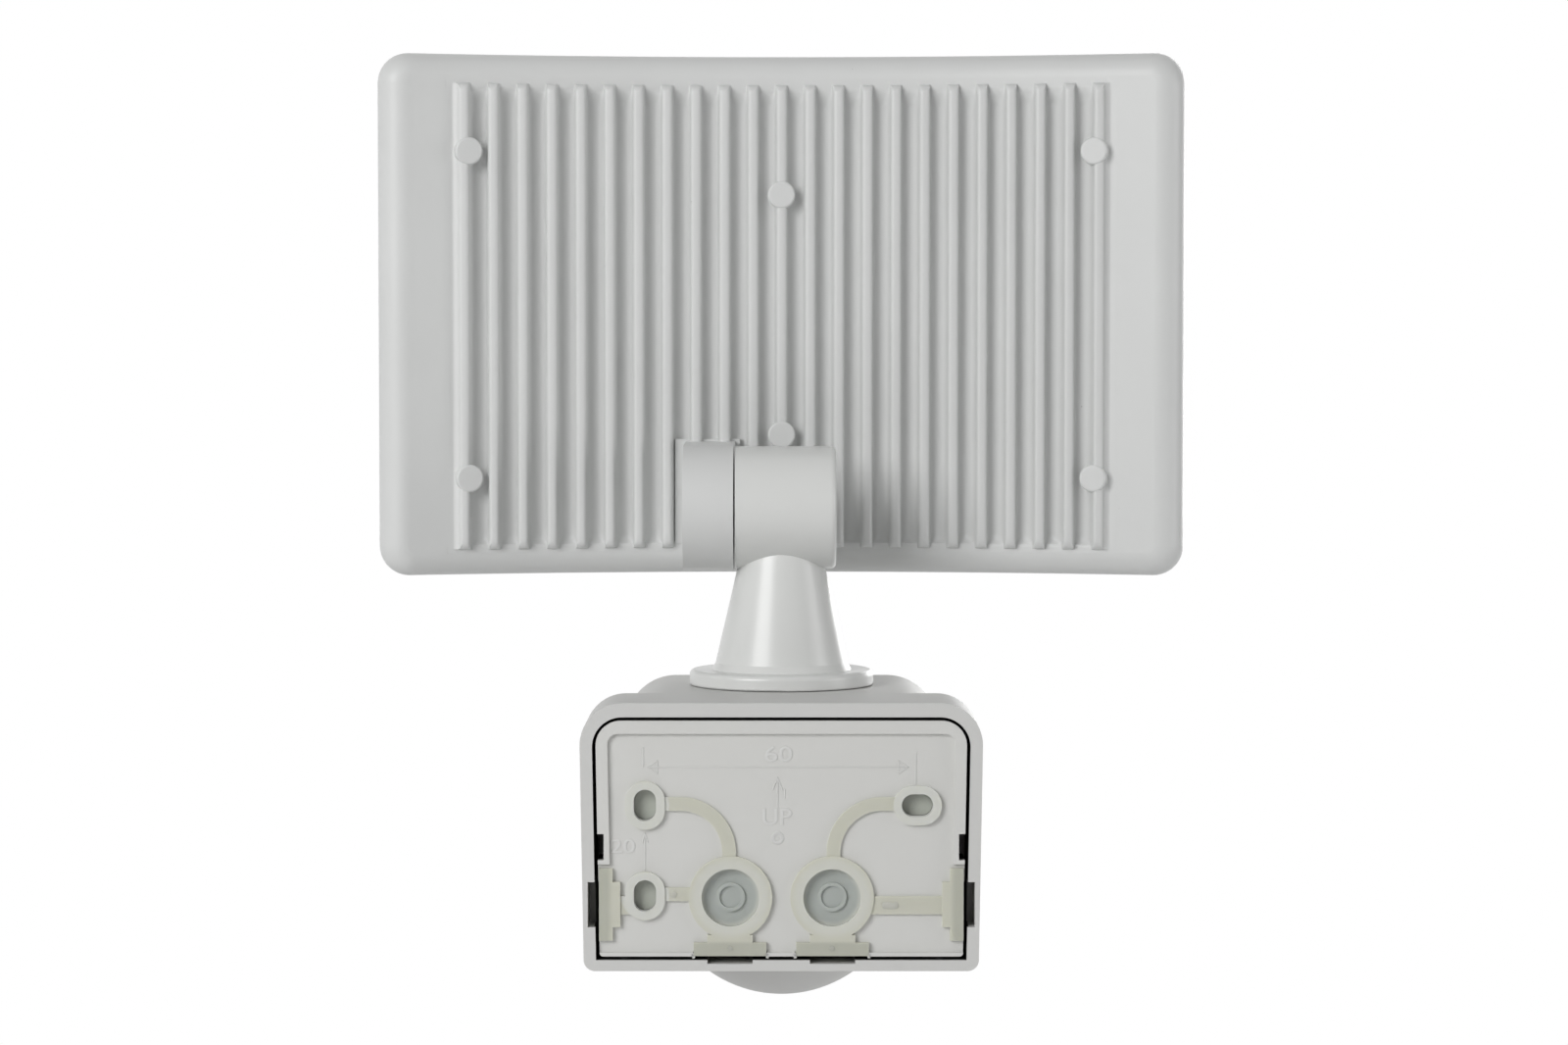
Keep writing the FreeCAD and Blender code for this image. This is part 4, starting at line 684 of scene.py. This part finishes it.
def on_back(x: float, z: float, depth: float) -> Matrix:
    """Where a flat mark goes whose own x runs to the viewer's right and whose own z faces the wall.

    Args:
        x: Its middle across, in millimetres.
        z: Its middle's height, in millimetres.
        depth: How far its foot is from the wall, in millimetres.

    Returns:
        The matrix that takes it there from the origin.
    """
    return Matrix.Translation(Vector((x, -depth, z)) * MM) @ FROM_WALL


def merge_in(mesh: bmesh.types.BMesh, shape: Shape, place: Matrix) -> None:
    """Build a shape by itself, put it in place and add it to a mesh.

    Args:
        mesh: The bmesh that takes it.
        shape: What builds the shape at the origin.
        place: Where it goes.
    """
    part = bmesh.new()
    shape(part)
    bmesh.ops.transform(part, matrix=place, verts=part.verts)
    data = settled("part", part)
    mesh.from_mesh(data)
    bpy.data.meshes.remove(data)


def round_edges(mesh: bmesh.types.BMesh, edges: list[bmesh.types.BMEdge], size: float) -> None:
    """Bevel some edges by a size in millimetres."""
    bmesh.ops.bevel(
        mesh, geom=edges, offset=size * MM, segments=2, profile=0.5, affect="EDGES", material=-1
    )


def bar(start: Pair, end: Pair, width: float, height: float) -> Shape:
    """A straight raised line between two points on a plane.

    Args:
        start: Its first point, in millimetres.
        end: Its last point, in millimetres.
        width: Its width, in millimetres.
        height: How far it stands out, in millimetres.

    Returns:
        What builds it in a bmesh.
    """

    def shape(mesh: bmesh.types.BMesh) -> None:
        """Build the line on the origin's plane.

        Args:
            mesh: The empty bmesh that takes it.
        """
        way = Vector(end) - Vector(start)
        middle = (Vector(start) + Vector(end)) / 2 * MM
        size = Matrix.Diagonal(((way.length + width) * MM, width * MM, height * MM, 1))
        turn = Matrix.Rotation(math.atan2(way.y, way.x), 4, "Z")
        lift = Matrix.Translation((middle.x, middle.y, height * MM / 2))
        bmesh.ops.create_cube(mesh, size=1.0, matrix=lift @ turn @ size)
        top = [edge for edge in mesh.edges if all(vert.co.z > height * MM / 2 for vert in edge.verts)]
        round_edges(mesh, top, height * BAR_ROUND)

    return shape


def word(text: str, tall: float, wide: float, height: float) -> Shape:
    """Raised characters whose middle is at the origin.

    Args:
        text: What they say.
        tall: The height of a capital or figure, in millimetres.
        wide: The width of all of them, in millimetres.
        height: How far they stand out, in millimetres.

    Returns:
        What builds them in a bmesh.
    """

    def shape(mesh: bmesh.types.BMesh) -> None:
        """Set the text, make it a mesh and fit it to its size.

        Args:
            mesh: The empty bmesh that takes it.
        """
        curve = bpy.data.curves.new("word", "FONT")
        curve.body = text
        curve.extrude = LETTER_EXTRUDE
        curve.bevel_depth = LETTER_BEVEL
        curve.bevel_resolution = 1
        curve.resolution_u = LETTER_STEPS
        letters = bpy.data.objects.new("word", curve)
        data = bpy.data.meshes.new_from_object(letters)
        mesh.from_mesh(data)
        bpy.data.objects.remove(letters)
        bpy.data.curves.remove(curve)
        bpy.data.meshes.remove(data)
        low = Vector([min(vert.co[axis] for vert in mesh.verts) for axis in range(3)])
        high = Vector([max(vert.co[axis] for vert in mesh.verts) for axis in range(3)])
        span = high - low
        middle = (low + high) / 2
        fit = Matrix.Diagonal((wide * MM / span.x, tall * MM / span.y, 2 * height * MM / span.z, 1))
        bmesh.ops.transform(mesh, matrix=fit @ Matrix.Translation(-middle), verts=mesh.verts)

    return shape


def slab(radius: float, reach: float, height: float, soft: float = 0.0, upright: bool = False) -> Shape:
    """A round or round-ended slab on the origin's plane.

    Args:
        radius: The radius of its ends, in millimetres.
        reach: From its middle to the centre of an end, in millimetres.
        height: Its thickness, in millimetres.
        soft: The round of its upper edge, in millimetres.
        upright: Whether its length runs up.

    Returns:
        What builds it in a bmesh.
    """

    def shape(mesh: bmesh.types.BMesh) -> None:
        """Stretch a disc, raise it and round its edge.

        Args:
            mesh: The empty bmesh that takes it.
        """
        bmesh.ops.create_circle(mesh, cap_ends=True, segments=DISC_SIDES, radius=radius * MM)
        for vert in mesh.verts:
            along = vert.co.y if upright else vert.co.x
            shift = math.copysign(reach * MM, along) if abs(along) > ON_AXIS else 0.0
            vert.co += Vector((0, shift, 0) if upright else (shift, 0, 0))
        raised = bmesh.ops.extrude_face_region(mesh, geom=list(mesh.faces))["geom"]
        verts = [item for item in raised if isinstance(item, bmesh.types.BMVert)]
        bmesh.ops.translate(mesh, verts=verts, vec=(0, 0, height * MM))
        if soft:
            rim = [edge for edge in mesh.edges if all(vert in verts for vert in edge.verts)]
            round_edges(mesh, rim, soft)

    return shape


@dataclass(frozen=True)
class Label:
    """Characters on the plate: what they say, their size and their middle's place, in millimetres."""

    text: str
    tall: float
    wide: float
    x: float
    z: float


@dataclass
class PlateMarks(SubAssembly):
    """Raised size marks on the wall plate's face, read from the wall side. Sizes are in millimetres."""

    face: float = 1.3
    height: float = 0.16
    line: float = 0.22
    head: float = 2.0
    head_half: float = 1.4
    span_label: Label = Label("60", 3.5, 6.1, 0.6, 11.3)
    span_height: float = 8.4
    span_left: float = 29.3
    span_right: float = -27.9
    left_tick: Ends = (30.4, 8.5, 30.4, 12.6)
    right_tick: Ends = (-29.6, 3.8, -29.6, 11.4)
    drop_label: Label = Label("20", 3.1, 5.4, 34.9, -9.1)
    drop_place: float = 30.0
    drop_top: float = -6.2
    drop_foot: float = -14.5
    drop_head_half: float = 0.6
    up_label: Label = Label("UP", 3.7, 6.4, 0.9, -2.6)
    arrow_place: float = 0.8
    arrow: tuple[tuple[Pair, Pair], ...] = (
        ((0, -0.6), (0, 6.1)),
        ((0, 6.1), (-1.1, 3.3)),
        ((0, 6.1), (1.1, 3.3)),
        ((1.6, 1.6), (1.6, 3.4)),
    )

    def build(self) -> None:
        """Make the size marks and the mark that says which way is up."""
        sizes = bmesh.new()
        for label in (self.span_label, self.drop_label):
            self.write(sizes, label)
        for shape in self.span_lines() + self.drop_lines():
            merge_in(sizes, shape, on_back(0, 0, self.face))
        self.piece("plate_size_marks", sizes, Slot.PLASTIC, "raised_marks")
        upward = bmesh.new()
        self.write(upward, self.up_label)
        for start, end in self.arrow:
            stroke = bar(start, end, self.line, self.height)
            merge_in(upward, stroke, on_back(self.arrow_place, 0, self.face))
        self.piece("plate_up_mark", upward, Slot.PLASTIC, "raised_marks")

    def write(self, mesh: bmesh.types.BMesh, label: Label) -> None:
        """Add a label's characters to a mesh."""
        letters = word(label.text, label.tall, label.wide, self.height)
        merge_in(mesh, letters, on_back(label.x, label.z, self.face))

    def lines(self, *ends: Ends) -> list[Shape]:
        """Lines from one pair of x and height to another, with x as the part has it."""
        return [bar((-x1, z1), (-x2, z2), self.line, self.height) for x1, z1, x2, z2 in ends]

    def span_lines(self) -> list[Shape]:
        """The level size line with its arrowheads and ticks.

        Returns:
            What builds each line.
        """
        z, half = self.span_height, self.head_half
        left, right = self.span_left, self.span_right
        shapes = self.lines((left, z, right, z), self.left_tick, self.right_tick)
        for tip, back in ((left, left - self.head), (right, right + self.head)):
            shapes += self.lines((tip, z, back, z - half), (tip, z, back, z + half))
            shapes += self.lines((back, z - half, back, z + half))
        return shapes

    def drop_lines(self) -> list[Shape]:
        """The upright size line with its arrowhead.

        Returns:
            What builds each line.
        """
        x, top, half = self.drop_place, self.drop_top, self.drop_head_half
        shapes = self.lines((x, top, x, self.drop_foot))
        return shapes + self.lines(*((x, top, x + side * half, top - self.head) for side in (-1, 1)))


@dataclass(frozen=True)
class Gate:
    """A gate's stub left on a soft seal: its sizes, and the place of its foot, in millimetres."""

    radius: float
    reach: float
    height: float
    soft: float
    x: float
    z: float
    depth: float


@dataclass
class PlateMoulding(SubAssembly):
    """Small leavings of the moulding on the plate and its soft seals. Sizes are in millimetres."""

    face: float = 1.3
    ring_place: Pair = (0.8, -7.3)
    ring_sides: int = 36
    ring_profile: tuple[Pair, ...] = ((0.6, 0.0), (0.65, 0.14), (0.95, 0.22), (1.3, 0.18), (1.5, 0.0))
    gates: tuple[Gate, ...] = (
        Gate(0.75, 1.1, 0.15, 0.06, -24.0, -22.1, 0.6),
        Gate(0.7, 0.0, 0.15, 0.06, 23.7, -19.7, 0.6),
        Gate(0.6, 0.0, 0.12, 0.05, -11.2, -31.6, 0.2),
        Gate(0.6, 0.0, 0.12, 0.05, 11.2, -31.6, 0.2),
    )
    foot_place: float = 11.2
    foot_reach: float = 8.35
    foot_height: float = -33.2
    flash: tuple[tuple[Pair, Pair], ...] = (((0.0, 0.7), (0.1, -0.5)), ((0.5, -0.1), (0.1, -0.6)))
    flash_width: float = 0.3
    flash_height: float = 1.0
    slots: tuple[tuple[float, float, bool], ...] = ((30, 0, True), (30, -20, True), (-30, 0, False))
    skin_radius: float = 2.42
    skin_reach: float = 1.0
    skin_height: float = 0.35
    skin_depth: float = 3.7

    def build(self) -> None:
        """Make the ejector ring, the gates, the flash and the soft skins in the slots."""
        self.piece("plate_ejector_ring", self.ring_mesh(), Slot.PLASTIC)
        self.piece("seal_gates", self.gates_mesh(), Slot.SEAL)
        self.piece("seal_end_flash", self.flash_mesh(), Slot.PLASTIC, "flash")
        self.piece("slot_skins", self.skins_mesh(), Slot.SEAL, "slot_skin")

    def ring_mesh(self) -> bmesh.types.BMesh:
        """The raised ring that an ejector pin leaves.

        Returns:
            The mesh, in place.
        """
        mesh = bmesh.new()
        verts = [mesh.verts.new((radius * MM, 0, height * MM)) for radius, height in self.ring_profile]
        edges = [mesh.edges.new(pair) for pair in zip(verts, verts[1:])]
        bmesh.ops.spin(
            mesh,
            geom=verts + edges,
            cent=(0, 0, 0),
            axis=(0, 0, 1),
            angle=math.tau,
            steps=self.ring_sides,
            use_merge=True,
        )
        bmesh.ops.transform(mesh, matrix=on_back(*self.ring_place, self.face), verts=mesh.verts)
        return mesh

    def gates_mesh(self) -> bmesh.types.BMesh:
        """The gates' stubs on the runners and on the foot seals.

        Returns:
            The mesh, in place.
        """
        mesh = bmesh.new()
        for gate in self.gates:
            stub = slab(gate.radius, gate.reach, gate.height, gate.soft)
            merge_in(mesh, stub, on_back(gate.x, gate.z, gate.depth))
        return mesh

    def flash_mesh(self) -> bmesh.types.BMesh:
        """The bits of flash at both ends of each foot seal.

        Returns:
            The mesh, in place.
        """
        mesh = bmesh.new()
        for side in (-1, 1):
            for end in (-1, 1):
                place = on_back(self.foot_place * side + self.foot_reach * end, self.foot_height, self.face)
                for (x1, z1), (x2, z2) in self.flash:
                    bit = bar((x1 * end, z1), (x2 * end, z2), self.flash_width, self.flash_height)
                    merge_in(mesh, bit, place)
        return mesh

    def skins_mesh(self) -> bmesh.types.BMesh:
        """The thin soft skin in each fixing slot.

        Returns:
            The mesh, in place.
        """
        mesh = bmesh.new()
        for x, z, upright in self.slots:
            skin = slab(self.skin_radius, self.skin_reach, self.skin_height, upright=upright)
            merge_in(mesh, skin, on_back(x, z, self.skin_depth))
        return mesh


@dataclass
class RibField(SubAssembly):
    """The cooling ribs' outer skin: round crests, hollow valleys and ramped ends, over the casting's ribs.

    The ribs stand parallel and square to the head's middle plane, and their feet follow its curve.
    Sizes are in millimetres. Heights over the casting's back are of the crest and the valley, and
    heights from the object's origin are of the foot and the top of the crests, valleys and skirt.
    """

    count: int = 23
    pitch: float = 6.75
    curve: float = 268.0
    centre: float = 193.0
    crest: float = 2.25
    crest_flat: float = 0.35
    crest_round: float = 0.9
    valley: float = -1.5
    flank_turn: float = 82.0
    root_turn: float = 62.0
    root_reach: float = 3.5
    steps: int = 5
    margin: float = 0.8
    lift: float = 0.02
    back: float = -3.2
    skirt_foot: float = 52.1
    skirt_top: float = 163.4
    crest_foot: float = 52.9
    crest_top: float = 162.2
    crest_end: float = 2.1
    valley_foot: float = 54.02
    valley_top: float = 161.3
    foot_ramp: float = 2.4
    top_ramp: float = 4.4
    end_reach: float = 5.6
    end_rows: int = 12

    def bend(self, x: float) -> float:
        """How far out from the wall the casting's back lies at a place across."""
        return self.centre - math.sqrt(self.curve**2 - x**2)

    def half_rib(self, turn: float, reach: float, floor: float) -> list[Triple]:
        """Half of a rib's section, from its middle to a floor.

        Args:
            turn: How steep its flank is, in degrees.
            reach: From its middle to the floor's lowest line.
            floor: The floor's height.

        Returns:
            Places across, their heights, and how much each has left the rib's own foot.
        """
        slope = math.radians(turn)
        turns = [slope * step / self.steps for step in range(self.steps + 1)]
        over = [self.crest_flat + self.crest_round * math.sin(angle) for angle in turns]
        crest = [self.crest - self.crest_round * (1 - math.cos(angle)) for angle in turns]
        span, drop = reach - over[-1], crest[-1] - floor
        lean = math.tan(slope / 2)
        flank = (drop - span * lean) / (math.sin(slope) - math.cos(slope) * lean)
        hollow = (span - flank * math.cos(slope)) / math.sin(slope)
        half = [(x, height, 0.0) for x, height in zip(over, crest)]
        for angle in reversed(turns):
            x = reach - hollow * math.sin(angle)
            share = 1 - math.sin(angle) / math.sin(slope)
            half.append((x, floor + hollow * (1 - math.cos(angle)), share))
        return half

    def section(self) -> list[Triple]:
        """The whole section, from one skirt to the other.

        Returns:
            Places across, the casting's back there and the heights over it.
        """
        inner = self.half_rib(self.flank_turn, self.pitch / 2, self.valley)
        outer = self.half_rib(self.root_turn, self.root_reach, self.lift)
        places = []
        for number in range(self.count):
            middle = self.pitch * (number - (self.count - 1) / 2)
            left = outer if number == 0 else inner
            right = outer if number == self.count - 1 else inner
            for side, half in ((-1, left[::-1]), (1, right)):
                reach = max(x for x, _, _ in half)
                foot = self.bend(middle + side * reach)
                for x, height, share in half:
                    level = self.bend(middle) * (1 - share) + foot * share
                    places.append((middle + side * x, level, height))
            if number < self.count - 1:
                places.pop()
        for end, side in ((0, -1), (len(places), 1)):
            x = side * (self.pitch * (self.count - 1) / 2 + self.root_reach + self.margin)
            places.insert(end, (x, self.bend(x), self.lift))
        return places

    def rows(self) -> list[float]:
        """The heights of the skin's rows, close together at the ribs' ends.

        Returns:
            Heights from the lowest to the highest.
        """
        turns = [math.pi / 2 * step / self.end_rows for step in range(self.end_rows + 1)]
        run = [self.end_reach * (1 - math.cos(turn)) for turn in turns]
        foot = [self.skirt_foot] + [self.crest_foot + step for step in run]
        top = [self.skirt_top] + [self.crest_top - step for step in run]
        return foot + top[::-1]

    def shares(self, z: float) -> Pair:
        """How far the ribs have risen from their ends in a row.

        Args:
            z: The row's height.

        Returns:
            The crests' share of their full height, and the valleys' share of their full depth.
        """
        crest = min(max(min(z - self.crest_foot, self.crest_top - z) / self.crest_end, 0.0), 1.0)
        foot = min(max((z - self.valley_foot) / self.foot_ramp, 0.0), 1.0)
        top = min(max((self.valley_top - z) / self.top_ramp, 0.0), 1.0)
        return math.sqrt(1 - (1 - crest) ** 2), min(math.sqrt(1 - (1 - foot) ** 2), top**2 * (3 - 2 * top))

    def build(self) -> None:
        """Shape a grid to the ribs, and give it a back inside the casting."""
        section, rows = self.section(), self.rows()
        mesh = bmesh.new()
        bmesh.ops.create_grid(mesh, x_segments=len(section) - 1, y_segments=len(rows) - 1, size=1.0)
        for vert in mesh.verts:
            x, level, height = section[round((vert.co.x + 1) / 2 * (len(section) - 1))]
            z = rows[round((vert.co.y + 1) / 2 * (len(rows) - 1))]
            crest, valley = self.shares(z)
            plain = self.bend(x) + self.lift
            over = level + height - plain
            vert.co = Vector((x, plain + over * (crest if over > 0 else valley), z)) * MM
        front = bmesh.ops.extrude_face_region(mesh, geom=list(mesh.faces))["geom"]
        kept = {item for item in front if isinstance(item, bmesh.types.BMVert)}
        for vert in mesh.verts:
            if vert not in kept:
                vert.co.y = (self.bend(vert.co.x / MM) + self.back) * MM
        self.piece("rib_skin", mesh, Slot.CASTING)


@dataclass(frozen=True)
class Lamp:
    """A soft square lamp: its place and side in metres, and its power in watts."""

    name: str
    place: Triple
    side: float
    power: float


@dataclass
class Studio:
    """Floor, lamps, background and camera. Places are in metres."""

    view_from: Triple = (-0.0006, 0.89607, 0.1046)
    pitch: float = 2.7
    focal_pixels: float = 4176.0
    photo_width: float = 1600.0
    sensor: float = 36.0
    floor_height: float = -0.3
    floor_half: float = 6.0
    floor_near: float = 0.25
    floor_far: float = 1.2
    floor_colour: Colour = tone(240, 240, 240)
    ambient: float = 0.23
    look_at: Triple = (0.0, -0.05, 0.06)
    lamps: tuple[Lamp, ...] = (
        Lamp("key", (0.87, 1.06, 0.6), 0.8, 14.0),
        Lamp("fill", (-1.35, 0.3, 0.2), 0.6, 4.1),
        Lamp("top", (0.2, 0.3, 1.4), 1.2, 0.8),
        Lamp("front", (-0.6, -1.2, 0.35), 0.8, 8.0),
    )

    def camera(self) -> None:
        """Stand the camera where the photograph was taken from."""
        data = bpy.data.cameras.new("camera")
        data.sensor_width = self.sensor
        data.lens = self.sensor * self.focal_pixels / self.photo_width
        camera = shown("camera", data)
        camera.location = self.view_from
        camera.rotation_euler = (math.radians(90 - self.pitch), 0, math.pi)
        bpy.context.scene.camera = camera

    def light(self, lamp: Lamp) -> None:
        """Add one lamp that faces the object.

        Args:
            lamp: What it is and where it stands.
        """
        data = bpy.data.lights.new(lamp.name, "AREA")
        data.size = lamp.side
        data.energy = lamp.power
        made = shown(lamp.name, data)
        made.location = lamp.place
        way = Vector(self.look_at) - Vector(lamp.place)
        made.rotation_euler = way.to_track_quat("-Z", "Y").to_euler()

    def white_where_seen(self, graph: Graph) -> Link:
        """1 where a camera, glossy or transmission ray looks, else 0.

        Args:
            graph: The nodes of the floor's material or of the world.

        Returns:
            The share of white.
        """
        rays = ("Is Camera Ray", "Is Glossy Ray", "Is Transmission Ray")
        camera, glossy, through = (graph.node("ShaderNodeLightPath", output=ray) for ray in rays)
        return camera.most(glossy).most(through)

    def background(self) -> None:
        """White where it is seen and softer where it only lights the object."""
        world = bpy.data.worlds.new("studio")
        bpy.context.scene.world = world
        graph = Graph(world)
        strength = self.white_where_seen(graph) * (1 - self.ambient) + self.ambient
        sky = graph.node("ShaderNodeBackground", None, {"Color": WHITE, "Strength": strength})
        graph.node("ShaderNodeOutputWorld", None, {"Surface": sky})

    def floor(self) -> None:
        """A wide pale floor well below the object, which turns as white as the background far away."""
        mesh = bmesh.new()
        bmesh.ops.create_grid(mesh, x_segments=1, y_segments=1, size=self.floor_half)
        bmesh.ops.translate(mesh, verts=mesh.verts, vec=(0, 0, self.floor_height))
        graph = Graph(bpy.data.materials.new("floor"))
        x, y, _ = graph.axes()
        far = x.hypot(y).rise(self.floor_near / MM, self.floor_far / MM)
        pale = graph.node("ShaderNodeBsdfDiffuse", None, {"Color": self.floor_colour})
        white = graph.node("ShaderNodeEmission", None, {"Color": WHITE})
        share = self.white_where_seen(graph) * far
        both = graph.node("ShaderNodeMixShader", None, {0: share, 1: pale, 2: white})
        graph.node("ShaderNodeOutputMaterial", None, {"Surface": both})
        data = settled("floor", mesh)
        data.materials.append(graph.owner)
        shown("floor", data)

    def build(self) -> None:
        """Set up everything round the object."""
        self.camera()
        self.background()
        self.floor()
        for lamp in self.lamps:
            self.light(lamp)
        bpy.context.scene.view_settings.view_transform = "Standard"
        log.info("studio ready")


def main() -> None:
    """Build the studio, dress the solids and add the fine pieces."""
    logging.basicConfig(level=logging.INFO, format="%(name)s: %(message)s")
    Studio().build()
    dresser = Dresser()
    dresser.dress_solids()
    PlateMarks(dresser, "base").build()
    PlateMoulding(dresser, "base").build()
    RibField(dresser, "head").build()


if __name__ == "__main__":
    main()
